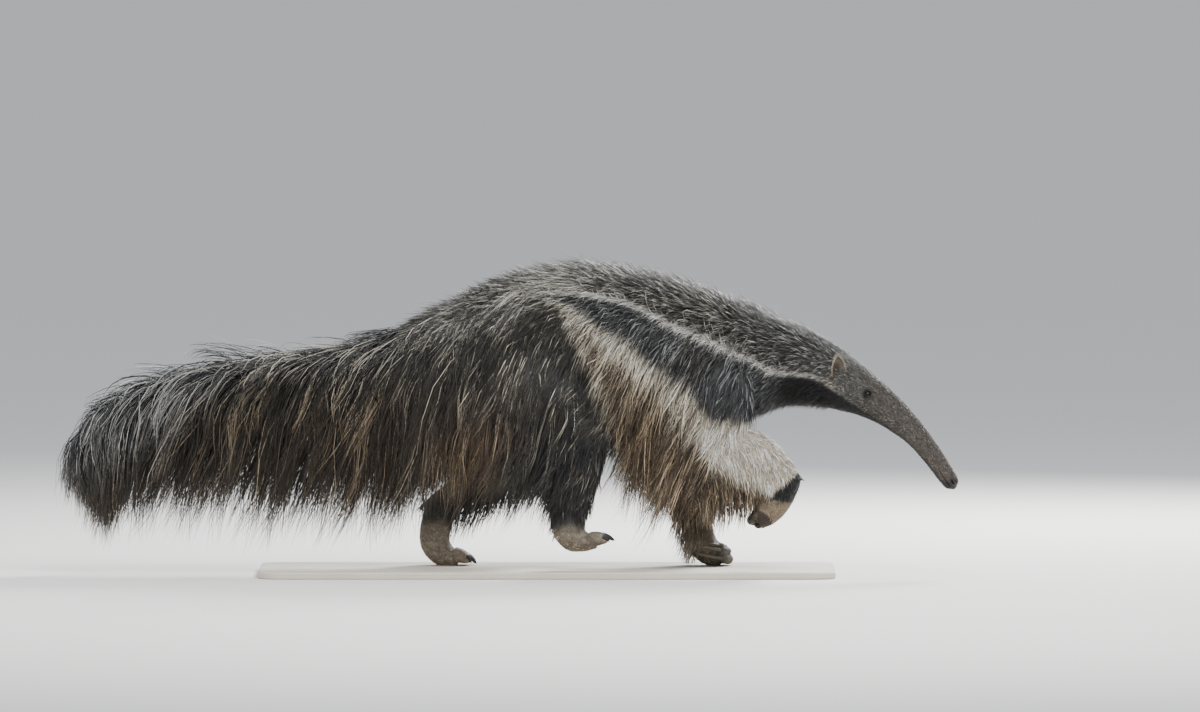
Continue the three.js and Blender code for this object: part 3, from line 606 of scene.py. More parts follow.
def regions(points):
    """Each region's share of the coat at points: one region laid over another with a soft mask,
    old shares times (1 - mask) plus the mask. Borders are lines over x or z, in mm."""
    x, y, z = in_mm(points)
    shares = np.zeros((len(points), len(REGION_NAMES)))
    shares[:, 0] = 1

    def lay(region, mask):
        shares[:] *= 1 - mask[:, None]
        shares[:, REGION_NAMES.index(region)] += mask

    top, foot = np.interp(x, *STRIPE_TOP), np.interp(x, *STRIPE_FOOT)
    rear, crown = np.interp(z, *FLANK_REAR), np.interp(x, *RUMP_TOP)
    near = y < 0
    far_foot, snout = (x > 330) * ~near, x > 860
    lay("nape", ease(x, 420, 520))
    lay("saddle", 0.85 * bell(x - 84, 78) * bell(z - 572, 42))
    lay("head", ease(x + 0.35 * (400 - z), 690, 760))
    lay("snout", ease(x, 790, 880))
    # The dark band under the jaw's crease: dark fur, and painted shade of the snout's underside
    lay("lip", ease(np.interp(x, *JAW_CREASE) + np.interp(x, *JAW_FUR_AND_SHADE_TOP) - z, -3, 5) * ease(x, 680, 700))
    lay("cheek", 0.85 * bell(x - 646, 17) * bell(z - 378, 15))
    along_snout = (x - 890) * 0.545 + (188 - z) * 0.838
    lay("nose", ease(along_snout, 9, 13) * snout)
    for sign in SIDE_SIGN.values():
        eye = spot(EYE["row"], sign * EYE["angle"])[0]
        # Bare dark skin round each eye, its dark ring spread wide as painted shade round the sunken eye
        lay("lid", fall(np.linalg.norm(points - eye, axis=-1) * 1000, 9, 13.5))
        reach = from_nostril(points, sign)
        lay("nose", fall(reach, 2.1, 2.5) * snout)
        lay("rim", 0.9 * bell(reach - 1.6, 0.35) * snout)
    lay("flank", fall(z, foot - 6, foot + 6) * ease(x, rear - 14, rear + 14) * (x < 640))
    behind_arm = ease(x, rear, rear + 30) * fall(x, 290, 350)
    lay("tan", 0.9 * ease(foot - z, 14, 82) * behind_arm)
    lay("fringe", fall(z, 290, 380) * behind_arm)
    lay("fringe", fall(z, 262, 330) * ease(x, 290, 320) * (x < 640))
    lay("rump", fall(x, rear - 14, rear + 14) * fall(z, crown - 22, crown + 22))
    lay("breech", 0.8 * bell(x + 78, 95) * bell(z - 290, 80))
    lay("tail", fall(x, -230, -170))
    lay("ridge", fall(x, -230, -170) * ease(z - 0.12 * (x + 640), 350, 410))
    lay("tail_end", 0.9 * fall(x, -700, -420) * ease(z + 0.5 * (-x - 640), 290, 380))
    lay("hind", fall(z, 260, 300) * fall(x, 200, 230) * ease(x, -50, 30))
    lay("hind", fall(z, 175, 215) * fall(x, 200, 230) * ease(x, -230, -210))
    lay("foot", fall(z, 74, 104) * fall(x, 200, 230))
    cream = np.where(near, np.interp(x, *CREAM_FOOT), 150)
    lay("fore", fall(z, 290, 312) * ease(x, 345, 385) * (x < 640) * ease(z, cream - 22, cream + 22))
    striped = ease(z, foot - 5, foot + 5) * fall(z, top - 4, top + 4) * fall(x, 735, 780)
    lay("stripe", striped * ease(x, 72, 96))
    lay("throat", striped * ease(x, 520, 575))
    lay("head", 0.9 * ease(np.interp(x, *THROAT_TOP) - z, -3, 3) * ease(x, 575, 610) * (x < 760))
    lay("tan", 0.3 * bell(x - 372, 22) * bell(z - 425, 40))
    strong = (0.35 + 0.65 * fall(x, 500, 560)) * fall(x, 600, 665)
    lay("line", np.clip(1.6 - np.abs(z - top - 4) / 4.2, 0, 1) * ease(x, 120, 170) * strong)
    wrist = (x > 500) * (x < 640) * near
    over_palm = z - np.interp(x, *BAND_FOOT)
    lay("palm", ease(-over_palm, -4, 4) * wrist)
    lay("band", ease(over_palm, -3, 3) * ease(np.interp(x, *BAND_TOP) - z, -3, 3) * wrist)
    turn = np.radians(PAD["slope"])
    along = (x - PAD["x"]) * np.cos(turn) + (z - PAD["z"]) * np.sin(turn)
    across = (z - PAD["z"]) * np.cos(turn) - (x - PAD["x"]) * np.sin(turn)
    lay("pad", fall(np.hypot(along / PAD["long"], across / PAD["wide"]), 0.9, 1.1) * wrist)
    lay("foot", 0.5 * fall(z, 90, 130) * far_foot)
    lay("band", 0.25 * fall(z, 74, 86) * ease(z, 44, 56) * far_foot)
    lay("foot", fall(z, 44, 56) * far_foot)
    lay("knuckle", ease(x, 414, 422) * fall(z, 48, 58) * (x < 480) * ~near)
    return shares


def shaded_hide_colours(points):
    """The hide's colour: dark + 0.5 x pale share x (pale - dark) of each region, by its share. Halving the
    pale share is painted shade under the coat.
    """
    return regions(points) @ (DARK + (PALE - DARK) * 0.5 * PALE_SHARE[:, None])


def store(piece, name, values):
    """A number or a colour for each vertex, in an attribute."""
    kind, key = ("FLOAT_COLOR", "color") if values.ndim > 1 else ("FLOAT", "value")
    if values.ndim > 1:
        values = np.column_stack([values, np.ones(len(values))])
    attribute = piece.data.attributes.new(name, kind, "POINT")
    attribute.data.foreach_set(key, values.astype(np.float32).ravel())


skin = add_piece("skin", *joined([body, feet, head]))
hide_points = vertices(skin.data)
# The hide's colours, darker than the hair's as painted shade under the coat
store(skin, "coat", shaded_hide_colours(hide_points))

hide_material = new_material("haired_hide", [
    ("coat",),
    ((90, 4, EVEN), [(0.3, (170, 166, 160)), (0.7, (255, 255, 255))]),
    ((1700, 2, (0.3, 1, 0.6)), [(0.36, (150, 146, 140)), (0.62, (255, 252, 246))]),
], ((1200, 3, (0.5, 1, 0.6)), 0.6, 0.0012), Roughness=0.72)
skin.data.materials.append(hide_material)
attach(skin, "root")
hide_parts("head", "neck", "torso", "tail_root", "tail_middle", "tail_end", *limbs)


# ---- Ears ----
# Small upright cups of thin gristle, open forward and outwards, haired on the back and rim.
# Each grows from the side of the skull behind the eye.

EAR_SIZE = {"wide": 13.5, "low": -14, "high": 56, "bowl": 10, "wall": 2.4, "droop": 3.0, "ahead": 4}
EAR_SKIN, EAR_HOLLOW = (112, 103, 91), (58, 44, 35)


def ear_frame(sign):
    """The ear's root, and the axes up along it, across it and out of its opening. Up is fore
    cos(tilt) + side sin(tilt), leant along the run; the opening faces ahead and outwards."""
    place = on_tube(hide, np.array(EAR["row"]), np.radians(sign * EAR["angle"]))
    _, _, run, side, fore = axes(hide, np.array(EAR["row"]))
    tilt = np.radians(sign * EAR["tilt"])
    up = unit(fore * np.cos(tilt) + side * np.sin(tilt) + run * np.tan(np.radians(EAR["lean"])))
    opening = unit(run + np.array([0, -sign * 1.6, 0]))
    opening = unit(opening - up * (opening @ up))
    return place, up, np.cross(up, opening), opening


def ear_points(sign, v, turn, inner):
    """A cup: at height share v, an arc of half width w sin(pi (0.2 + 0.8 v))^0.6 that bows back by
    b (0.35 + 0.65 rim) cos(turn); inner is 0 outside and 1 inside, a wall's thickness apart."""
    place, up, across, opening = ear_frame(sign)
    rim = np.clip(np.sin(np.pi * (0.2 + 0.8 * v)), 0, 1) ** 0.6
    width = EAR_SIZE["wide"] * rim - EAR_SIZE["wall"] * inner * rim * np.abs(np.cos(turn)) ** 0.5
    bow = EAR_SIZE["bowl"] * (0.35 + 0.65 * rim) - inner * EAR_SIZE["wall"]
    high = EAR_SIZE["low"] + EAR_SIZE["high"] * v - EAR_SIZE["droop"] * (1 - np.cos(turn)) * v
    back = EAR_SIZE["ahead"] - bow * np.cos(turn) + EAR_SIZE["ahead"] * v**2
    parts = (across, width * np.sin(turn)), (up, high), (opening, back)
    return place + sum(axis * reach[..., None] for axis, reach in parts) / 1000


def ear_shell(sign):
    """The cup's outside and inside, joined at its rim."""
    v = np.linspace(0, 1, 26)[:, None]
    fan = np.linspace(-1, 1, 19)
    turn = np.concatenate([fan, fan[::-1]])[None] * np.pi / 2
    inner = np.concatenate([np.zeros(19), np.ones(19)])[None]
    return closed_grid(ear_points(sign, v + 0 * turn, turn + 0 * v, inner))


for name, sign in SIDE_SIGN.items():
    ear = add_piece(f"ear_skin_{name}", *ear_shell(sign))
    place, _, _, opening = ear_frame(sign)
    hollow = fall((vertices(ear.data) - place) * 1000 @ opening, -5, 2)[:, None]
    store(ear, "coat", linear(EAR_SKIN) * (1 - hollow) + linear(EAR_HOLLOW) * hollow)
    ear.data.materials.append(hide_material)
    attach(ear, "root")
    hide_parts(f"ear_{name}")


# ---- Eyes and lids ----
# Glass taxidermy eyes, 17 mm across, with a near-black pupil in a dark brown iris, set in the
# sockets. The lids are folds of bare dark skin that lie on the glass and run out into the hide;
# they darken towards the opening as painted shade in the socket.

glass = new_material("glass_eye", [
    ("gaze", [(0.5, (14, 10, 8)), (0.8, (22, 14, 9)), (0.9, (30, 19, 12)), (0.94, (4, 3, 3))]),
], Roughness=0.09, Specular_IOR_Level=0.25)

LID = {"long": 6.8, "high": 4.2, "out": 13.0}
# A lid's section from under the hide over its fold on to the ball and back: share of the way out
# from the opening to the lid's outer edge, then height in mm
LID_PROFILE = np.array([
    [1.0, -2.6], [0.72, 0.3], [0.5, 1.3], [0.3, 1.2], [0.14, 1.9], [0.03, 1.5], [0, 0.5],
    [0.02, -1.5], [0.5, -5],
])


def eye_ball(place, out, ahead, up):
    """A ball, and how far each point looks outwards: rings at polar angle p about the outward
    axis, centre + R (out cos p + (ahead cos t + up sin t) sin p)."""
    polar = np.linspace(0.02, np.pi - 0.02, 30)[:, None]
    turn = around(40)[None]
    wheel = ahead * np.cos(turn)[..., None] + up * np.sin(turn)[..., None]
    ray = out * np.cos(polar)[..., None] + wheel * np.sin(polar)[..., None]
    centre = place - out * EYE["sunk"] / 1000
    points, *faces = closed_grid(centre + ray * EYE["radius"] / 1000)
    return points, faces, (unit(points - centre) @ out)


def lids(place, out, ahead, up, sign):
    """A ring of skin round the eye's opening, as a closed loop of heights over an almond: from
    under the hide, up over a fold, down on to the ball, and back inside."""
    turn = around(72)[None]
    spread, lift = LID_PROFILE[:, :1], LID_PROFILE[:, 1:]
    almond = np.where(np.sin(turn) > 0, 1.0, 0.86) * np.abs(np.sin(turn)) ** 1.25 * np.sign(np.sin(turn))
    inner = (LID["long"] * np.cos(turn), LID["high"] * almond)
    outer = (LID["out"] * np.cos(turn), 0.84 * LID["out"] * np.sin(turn))
    fro, high = (a + (b - a) * spread for a, b in zip(inner, outer))
    flat = place + (ahead * fro[..., None] + up * high[..., None]) / 1000
    inside = np.clip(EYE["radius"] ** 2 - fro**2 - high**2, 0, None)
    ball = -EYE["sunk"] + np.sqrt(inside)
    hide_drop = -(fro**2) / 150 - high**2 / 88 - socket(fro, high)
    blend = ease(spread, 0.0, 0.45)
    height = ball * (1 - blend) + hide_drop * blend + lift
    return closed_loops(flat + out * (height / 1000)[..., None], sign)


def closed_loops(points, sign):
    """Vertices and faces of a grid that closes both ways, its faces turned for the side it is on."""
    rings, spokes, _ = points.shape
    ids = np.arange(rings * spokes).reshape(rings, spokes)
    down, along = np.roll(ids, -1, axis=0), np.roll(ids, -1, axis=1)
    walls = np.stack([ids, down, np.roll(down, -1, axis=1), along], -1).reshape(-1, 4)
    return points.reshape(-1, 3), walls if sign > 0 else walls[:, ::-1]


# Bare dark skin, paler at the lid's outer edge; its darkening towards the eye's opening is painted shade in
# the socket
shaded_lid_material = new_material("lid_skin_and_socket_shade", [
    ("away", [(0.5, (20, 17, 15)), (0.74, (34, 29, 26)), (0.98, (64, 59, 53))]),
    ((700, 3, EVEN), [(0.35, (150, 146, 140)), (0.65, (255, 252, 246))]),
], ((1500, 4, EVEN), 0.5, 0.0006), Roughness=0.5)
for name, sign in SIDE_SIGN.items():
    place, out, ahead, up = spot(EYE["row"], sign * EYE["angle"])
    points, faces, looks = eye_ball(place, out, ahead, up)
    faces = [group if np.cross(ahead, up) @ out < 0 else group[:, ::-1] for group in faces]
    ball = add_piece(f"glass_eye_{name}", points, *faces)
    store(ball, "gaze", looks)
    ball.data.materials.append(glass)
    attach(ball, "root")
    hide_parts(f"eye_{name}")
    lid = add_piece(f"lids_{name}", *lids(place, out, ahead, up, np.sign(np.cross(ahead, up) @ out)))
    from_eye = np.linalg.norm(vertices(lid.data) - place, axis=1) * 1000
    store(lid, "away", np.clip(from_eye / LID["out"], 0, 1))
    lid.data.materials.append(shaded_lid_material)
    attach(lid, "root")


# ---- Claws ----
# Horn over bone: five short ones on each hind foot, and on each fore foot long curved ones that
# the animal folds into its palm to walk on its knuckles. Dark grey horn, paler and worn at the tip.

horn = new_material("claw_horn", [
    ("along", [(0.04, (150, 138, 118)), (0.2, (34, 32, 31)), (0.6, (44, 41, 38)),
               (0.75, (92, 86, 78)), (0.98, (146, 134, 116))]),
    ((600, 4, (0.3, 1, 1)), [(0.3, (190, 186, 180)), (0.7, (255, 255, 255))]),
], ((900, 3, (0.3, 1, 1)), 0.4, 0.0006), Roughness=0.5)

CLAW_SHARE, CLAW_SPOKES = np.linspace(-0.3, 1, 22), 14
# Where along those horn colours a claw's root lies, and how far it runs: a hind one does not reach
# the pale tip, a fore one begins in dark horn
CLAW_COLOURS = {"hind": (0, 0.62), "fore": (0.6, 0.38)}


def claw(path, upright, radius):
    """A curved horn: rings of radius r (1 - share^1.5)^0.8 about its path, 0.85 as deep as wide."""
    size = radius * np.clip(1 - np.clip(CLAW_SHARE[:, None], 0, 1) ** 1.5, 0.002, 1) ** 0.8
    return round_shell(path, unit(np.gradient(path, axis=0)), upright, size, CLAW_SPOKES, 0.85)


for name in FEET:
    part, side = name.split("_")
    shells = [claw(*made) for made in claw_paths(name, CLAW_SHARE)]
    kind = "hind" if part == "foot" else "fore"
    claws = add_piece(f"claws_{kind}_{side}", *joined(shells))
    root, reach = CLAW_COLOURS[kind]
    along = np.tile([*np.repeat(CLAW_SHARE, CLAW_SPOKES), 0, 1], len(shells)).clip(0, 1)
    store(claws, "along", root + reach * along)
    claws.data.materials.append(horn)
    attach(claws, "root")
    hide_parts(*[f"claw_{kind}_{side}_{digit + 1}" for digit in range(len(shells))])


# ---- Coat ----
# Every tuft is a closed, three-sided lock of hair that tapers to a point, rooted in the hide.
# Tufts lie back along the body, overlap like thatch, and hang where they are long.

coat_material = new_material("coarse_hair", [
    ("coat",), ((260, 2, EVEN), [(0.3, (200, 198, 196)), (0.7, (255, 255, 255))]),
], Roughness=0.38)

# The skin on a grid of cells: where there is any, and how far each side reaches out from the middle
CELL = 0.008
grid_corner = hide_points.min(0) - 3 * CELL
grid_size = ((hide_points.max(0) - grid_corner) / CELL).astype(int) + 4
hide_cells = ((hide_points - grid_corner) / CELL).astype(int)
skin_near = np.zeros(grid_size, bool)
skin_near[tuple(hide_cells.T)] = True
for axis in range(3):
    skin_near = skin_near | np.roll(skin_near, 1, axis) | np.roll(skin_near, -1, axis)
widest = np.zeros((2, grid_size[0], grid_size[2]))
from_middle = hide_points[:, 1] - ORIGIN[1]
side_cells = (from_middle > 0).astype(int), hide_cells[:, 0], hide_cells[:, 2]
np.maximum.at(widest, side_cells, np.abs(from_middle))


def on_skin(places):
    """Whether each place lies within a cell or so of the skin."""
    cells = np.clip(((places - grid_corner) / CELL).astype(int), 0, grid_size - 1)
    return skin_near[tuple(np.moveaxis(cells, -1, 0))]


def side_reach(places):
    """How far out the skin reaches at each place's x and z, on its side: the four nearest cells'
    values, each by (1 - |distance in cells|) along x and along z."""
    off = (places[..., [0, 2]] - grid_corner[[0, 2]]) / CELL - 0.5
    low = np.clip(off.astype(int), 0, grid_size[[0, 2]] - 2)
    share = np.clip(off - low, 0, 1)
    side = (places[..., 1] > ORIGIN[1]).astype(int)
    total = 0
    for step in ((0, 0), (0, 1), (1, 0), (1, 1)):
        weight = np.abs(1 - np.array(step) - share).prod(-1)
        total = total + weight * widest[side, low[..., 0] + step[0], low[..., 1] + step[1]]
    return total


def lie(*table, rows=(0, 30), scale=(1, 1)):
    """How hair lies, by its root's angle from the top or front in degrees. Each line of the table:
    angle, run along the rows in mm, degrees that it turns, then how far its tip stands out, hangs
    and is carried back, in mm. Scale, over the rows, multiplies all but the angle."""
    table = np.array(table, float)
    scale = np.array([np.broadcast_to(line, 5) for line in scale], float)

    def at_root(at, angle):
        by_angle = [np.interp(np.abs(angle), table[:, 0], table[:, k]) for k in range(1, 6)]
        return np.array(by_angle) * [np.interp(at, rows, scale[:, k]) for k in range(5)]

    return at_root


def between(first, second, low, high):
    """One lie that turns into another: first (1 - t) + second t, t even over rows low to high."""

    def at_root(at, angle):
        t = np.clip((at - low) / (high - low), 0, 1)
        return first(at, angle) * (1 - t) + second(at, angle) * t

    return at_root


PLASTIC = 0.7548776662, 0.5698402910  # one over the plastic number, and over its square


def root_places(rows, span, arc, count, rng):
    """Roots spread evenly over the part of a tube that shows. Pairs (k a, k b) mod 1, with a and b
    the plastic number's powers, fill a square evenly; the first becomes a row by the share of the
    tube's area that lies before it, |dP/drow x dP/dangle| summed, and the second an angle."""
    angles = np.radians(np.linspace(*arc, 48))
    row_grid, angle_grid = np.meshgrid(np.linspace(*span, 160), angles, indexing="ij")
    here = on_tube(rows, row_grid, angle_grid)
    down_row = on_tube(rows, row_grid + 0.02, angle_grid) - here
    round_it = on_tube(rows, row_grid, angle_grid + 0.01) - here
    area = (np.linalg.norm(np.cross(down_row, round_it), axis=-1) * on_skin(here)).sum(1)
    before = np.concatenate([[0], np.cumsum((area[1:] + area[:-1]) / 2 + 1e-12)])
    k = np.arange(8 * count) + rng.uniform(0, 1000)
    at = np.interp(k * PLASTIC[0] % 1, before / before[-1], row_grid[:, 0])
    angle = np.radians(arc[0] + (arc[1] - arc[0]) * (k * PLASTIC[1] % 1))
    here = on_tube(rows, at, angle)
    shows = np.flatnonzero(on_skin(here) & (regions(here)[:, BARE].sum(1) < 0.5))[:count]
    return at[shows], angle[shows]


def hair_paths(rows, at, angle, laid, steps, sink, rise, over):
    """Each hair's path over share s: the tube at row + run sin(90 s), angle + turn s, raised by
    (stand + sink) s^rise - sink, and by the skin's own relief over the tube if given, let down by
    hang s^1.6 and carried back by sway s^2."""
    run, turn, stand, hang, sway = np.array(laid)[..., None]
    share = np.linspace(0, 1, steps)[None]
    inside = np.clip(at, 0.02, len(rows) - 1.02)
    step = spline(rows[:, :3], inside + 0.01) - spline(rows[:, :3], inside - 0.01)
    pace = np.linalg.norm(step, axis=-1)[:, None] / 0.02
    rows_at = at[:, None] + run / 1000 / pace * np.sin(share * np.pi / 2)
    swing = angle[:, None] + np.radians(turn) * share
    raised = ((stand + sink) * share**rise - sink) / 1000
    if over:
        raised = raised + over(on_tube(rows, rows_at, swing)) / 1000
    path = on_tube(rows, rows_at, swing, raised)
    outward = unit(path - axes(rows, rows_at)[0])
    path[..., 2] -= hang * share**1.6 / 1000
    path[..., 0] -= sway * share**2 / 1000
    lateral = np.zeros_like(outward)
    lateral[..., 1] = -np.sign(np.sin(angle))[:, None]
    drape = (np.clip(hang / 80, 0, 0.9) * share)[..., None]
    return path, unit(outward * (1 - drape) + lateral * drape)


def draped(path):
    """Hair rooted on the outer side of the body, kept outside the legs that it falls over: its
    distance from the middle is at least the skin's there + 3 + 7 share mm, and hardly shrinks."""
    middle = path[..., 1] - ORIGIN[1]
    outer = np.abs(middle)
    share = np.linspace(0, 1, path.shape[1])[None]
    free = outer[:, :1] > 0.7 * side_reach(path[:, :1])
    needed = np.where(free, side_reach(path) + (3 + 7 * share) / 1000, 0) * ease(share, 0.05, 0.4)
    for step in range(1, path.shape[1]):
        least = outer[:, step - 1] - 0.004
        kept = np.maximum(outer[:, step], needed[:, step])
        outer[:, step] = np.where((least > kept) & free[:, 0], 0.5 * (least + kept), kept)
    path[..., 1] = ORIGIN[1] + np.sign(middle) * outer
    return path


LOCK_THICK = 0.42  # how thick a lock is over its width
LOCK_CORNERS = (-0.5, -0.4), (0, 0.6), (0.5, -0.4)  # each corner's place over width and thickness


def locks(path, outward, wide, rng):
    """Closed three-sided locks along paths: rings of width wide (1 - share^1.7)^0.8, six tenths of
    which shows at the root, each rolled a little about its path, ending in a point."""
    count, steps, _ = path.shape
    share = np.linspace(0, 1, steps)[None, :, None]
    run = unit(np.gradient(path, axis=1))
    aside = unit(np.cross(run, outward))
    roll = rng.normal(0, 0.5, (count, 1, 1))
    cos, sin = np.cos(roll), np.sin(roll)
    aside, outward = aside * cos + outward * sin, outward * cos - aside * sin
    outward = unit(outward - run * (outward * run).sum(-1, keepdims=True))
    taper = (1 - share**1.7) ** 0.8 * (0.6 + 0.4 * np.clip(share / 0.25, 0, 1))
    size = wide.reshape(-1, 1, 1) / 1000 * taper
    corners = [path + aside * size * a + outward * (size * LOCK_THICK) * b for a, b in LOCK_CORNERS]
    ring = np.stack(corners, 2)
    return np.concatenate([ring[:, :-1].reshape(count, -1, 3), path[:, -1:]], 1)


SPREAD = 0.42  # how far a clump's roots scatter, of the distance between clumps
WILD = 0.05  # the share of hairs that stand out from their clump, thinner than the others
CLEAR = 0.004  # how far hair stays above the board, in metres
PATCH = 0.003  # how wide each tuft's own patch of the coat's map is


def grow(rows, span, arc, count, laid, rng, steps=5, wide=2.4, clump=8, pull=0.6, sink=3.0,
         stray=6.0, curl=0.04, kin=0.5, follow=0.3, drape=False, depth=0.22, vary=0.17,
         bright=0.0, uneven=0.3, bands=0.0, rise=0.75, over=None, roots=None):
    """Tufts on one tube, in clumps: each of a clump's hairs starts near its guide hair and is drawn
    towards it by pull x share, and all vary in length, lie and width. Kin is how far a clump
    shares one colour, follow how far a hair takes the colour of what it lies over, depth how much
    some clumps stand out over others, vary how uneven the lengths are, bright how much more often
    than its region's share a hair is pale, uneven how far hairs differ in brightness, and bands
    how far a hair changes between dark and pale along its own length. Returns each tuft's points,
    their colours, the root's place in the span and the arc as two shares, and the steps."""
    at, angle = roots or root_places(rows, span, arc, count // clump, rng)
    guides = len(at)
    guide = np.repeat(np.arange(guides), clump)
    count = len(guide)
    spread = SPREAD * np.sqrt(np.abs((span[1] - span[0]) * np.radians(arc[1] - arc[0])) / guides)
    root_at = np.clip(at[guide] + rng.normal(0, spread, count) * 0.8, *span)
    root_angle = angle[guide] + rng.normal(0, spread, count)
    mood = rng.normal(0, 1, (4, guides))
    own = rng.normal(0, 1, (4, count))
    wild = rng.uniform(0, 1, count) < WILD

    def paths(at, angle, mood, own, wild):
        run, turn, stand, hang, sway = laid(at, np.degrees(angle))
        length = np.clip(1 + 0.16 * mood[3] + vary * own[3], 0.4, 1.45)
        run = run * (1 + 0.15 * own[0])
        turn = turn * np.sign(np.sin(angle)) + stray * (mood[1] + 0.7 * own[1])
        stand = stand * np.clip(1 + depth * mood[2] + 0.22 * own[2], 0.25, 1.8) * (1 + 0.3 * wild)
        sway = sway + 0.08 * hang * (mood[0] + 0.5 * own[0])
        sized = [part * length for part in (run, turn, stand, hang, sway)]
        return hair_paths(rows, at, angle, sized, steps, sink, rise, over)

    path, outward = paths(root_at, root_angle, mood[:, guide], own, wild)
    lead, _ = paths(at, angle, mood, np.zeros((4, guides)), 0)
    share = np.linspace(0, 1, steps)[None, :, None]
    drawn = pull * share * rng.uniform(0.5, 1.15, (count, 1, 1)) * (1 - 0.7 * wild[:, None, None])
    path = path * (1 - drawn) + lead[guide] * drawn
    reach = np.linalg.norm(path[:, -1] - path[:, 0], axis=-1)[:, None, None]
    aside = unit(np.cross(unit(np.gradient(path, axis=1)), outward))
    bend = rng.uniform(0.4, 1.1, (2, guides, 1, 1))[:, guide]
    frizz = rng.uniform(0.6, 1.6, (2, count, 1, 1))
    sideways = curl * np.sin(2 * np.pi * (bend[0] * share + 2 * bend[1]))
    sideways = sideways + 0.02 * np.sin(2 * np.pi * (frizz[0] * share + frizz[1]))
    path = path + aside * reach * share * sideways
    if drape:
        path = draped(path)
    path[..., 2] = np.maximum(path[..., 2], ORIGIN[2] + CLEAR)
    width = wide * rng.uniform(0.6, 1.35, count) * np.where(wild, 0.55, 1)
    points = locks(path, outward, width, rng)

    seen = path[:, :1] + (path - path[:, :1]) * follow
    shares = regions(seen.reshape(-1, 3)).reshape(count, steps, -1)
    luck = kin * rng.uniform(0, 1, guides)[guide] + (1 - kin) * rng.uniform(0, 1, count)
    luck = (1 - bands) * luck[:, None] + bands * rng.uniform(0, 1, (count, steps))
    pale = ease(shares @ PALE_SHARE + bright - luck, -0.06, 0.06)[..., None]
    dark_colour, pale_colour = shares @ DARK, shares @ PALE
    base = dark_colour + (pale_colour - dark_colour) * pale
    base = base + (pale_colour - base) * (shares @ TIP_SHARE)[..., None] * ease(share, 0.3, 1)
    light = np.exp(rng.normal(0, 0.16, guides))[guide] * np.exp(rng.normal(0, uneven, count))
    # Painted shade: each hair darkens towards its root, down to 0.32 of its colour, for the shade deep in
    # the coat; light is each clump's and each hair's own random brightness
    base = base * light[:, None, None] * (0.32 + 0.68 * ease(share, 0, 0.5))
    shaded = np.concatenate([np.repeat(base[:, :-1], 3, axis=1), base[:, -1:]], 1)
    place = zip((root_at, np.degrees(root_angle)), (span, arc))
    return points, shaded, np.stack([(v - low) / (high - low) for v, (low, high) in place], -1), steps


def coat(name, grown):
    """One coat piece from tubes' tufts, which have equal counts of steps. Each tuft's map is a patch
    at its root's place on the skin, unrolled by row and angle, with a strip for each tube."""
    steps = grown[0][3]
    points, colours = (np.concatenate([part[k] for part in grown]) for k in (0, 1))
    strips = []
    for order, (_, _, place, _) in enumerate(grown):
        along, across = place.T
        strip = (order + 0.02 + 0.95 * np.clip(along, 0, 1)) / len(grown)
        strips.append(np.stack([strip, 0.01 + 0.97 * (across % 1.0001)], -1))
    count, corners = points.shape[:2]
    ring = np.arange(3 * (steps - 2)).reshape(-1, 3)
    turned = np.roll(ring, -1, 1)
    walls = np.stack([ring, turned, turned + 3, ring + 3], -1).reshape(-1, 4)
    last = 3 * (steps - 2) + np.arange(3)
    caps = np.vstack([[0, 2, 1], np.stack([last, np.roll(last, -1), np.full(3, corners - 1)], -1)])
    starts = (np.arange(count) * corners)[:, None, None]
    quads, triangles = ((faces + starts).reshape(-1, faces.shape[1]) for faces in (walls, caps))
    piece = add_piece(name, points.reshape(-1, 3), quads, triangles)
    store(piece, "coat", np.clip(colours.reshape(-1, 3), 0, 1))
    patch = np.stack([np.tile([0, 0.5, 1], steps), np.repeat(np.linspace(0, 1, steps), 3)], -1)
    unrolled = (np.concatenate(strips)[:, None] + patch[:corners] * PATCH).reshape(-1, 2)
    corner_ids = np.concatenate([quads.ravel(), triangles.ravel()])
    layer = piece.data.uv_layers.new(name="OFBake")
    layer.data.foreach_set("uv", unrolled[corner_ids].astype(np.float32).ravel())
    piece.data.materials.append(coat_material)
    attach(piece, "root")


# Kinds of hair: long and clumped, short and lying close, and single hairs that are shorter still
LONG = dict(clump=10, pull=0.7, stray=7, curl=0.06, follow=0.5, drape=True, depth=0.35, vary=0.22,
            uneven=0.36)
SHORT = dict(steps=3, clump=2, pull=0.25, stray=2.5, curl=0.02, kin=0.1, bands=0.7, rise=0.6)
SINGLE = dict(steps=3, clump=1, pull=0, curl=0.02, kin=0)
ROUND = (-180, 180)

# The tail: hair combed back from the ridge that then hangs nearly to the ground, a round fan of it
# at the end, and paler strands over the middle of each side
TAIL_LIE = lie(
    [0, -88, 6, 56, 10, 0], [20, -84, 24, 52, 46, 6], [45, -70, 40, 38, 112, 20],
    [82, -50, 34, 22, 162, 42], [128, -30, 14, 10, 200, 58], [180, -24, 0, 4, 198, 60],
    rows=(1.4, 3, 5, 7.4, 9),
    scale=((0.45, 1, 0.66, 0.9, 0.3), (1, 1, 0.95, 0.88, 0.9), (1, 1, 0.85, 1, 1),
           (1, 1, 0.62, 1.1, 0.9), (1, 1, 0.45, 1.1, 0.6)),
)
FAN_LIE = lie(
    [0, -32, 6, 12, 92, -8], [40, -34, 20, 14, 104, -8], [82, -27, 20, 16, 112, -4],
    [128, -18, 10, 12, 108, -2], [180, -10, 0, 8, 104, -2],
)
TIP_LIE = lie(
    [0, -41, 6, 18, 84, -12], [40, -43, 20, 18, 94, -12], [82, -37, 20, 18, 98, -10],
    [128, -28, 10, 12, 90, -8], [180, -20, 0, 8, 82, -6],
)
TAIL = dict(steps=6, clump=10, pull=0.8, stray=9, curl=0.07, kin=0.3, depth=0.42, vary=0.3, uneven=0.36,
            rise=0.52, follow=0.6)
STRAND = TAIL | dict(clump=22, pull=0.95, stray=5, curl=0.09, kin=0.9, bright=0.75, depth=0.1, follow=0.3)
TAIL_SIDES = ("right", 11, (-2, 182), (24, 92)), ("left", 12, (-182, 2), (-92, -24))
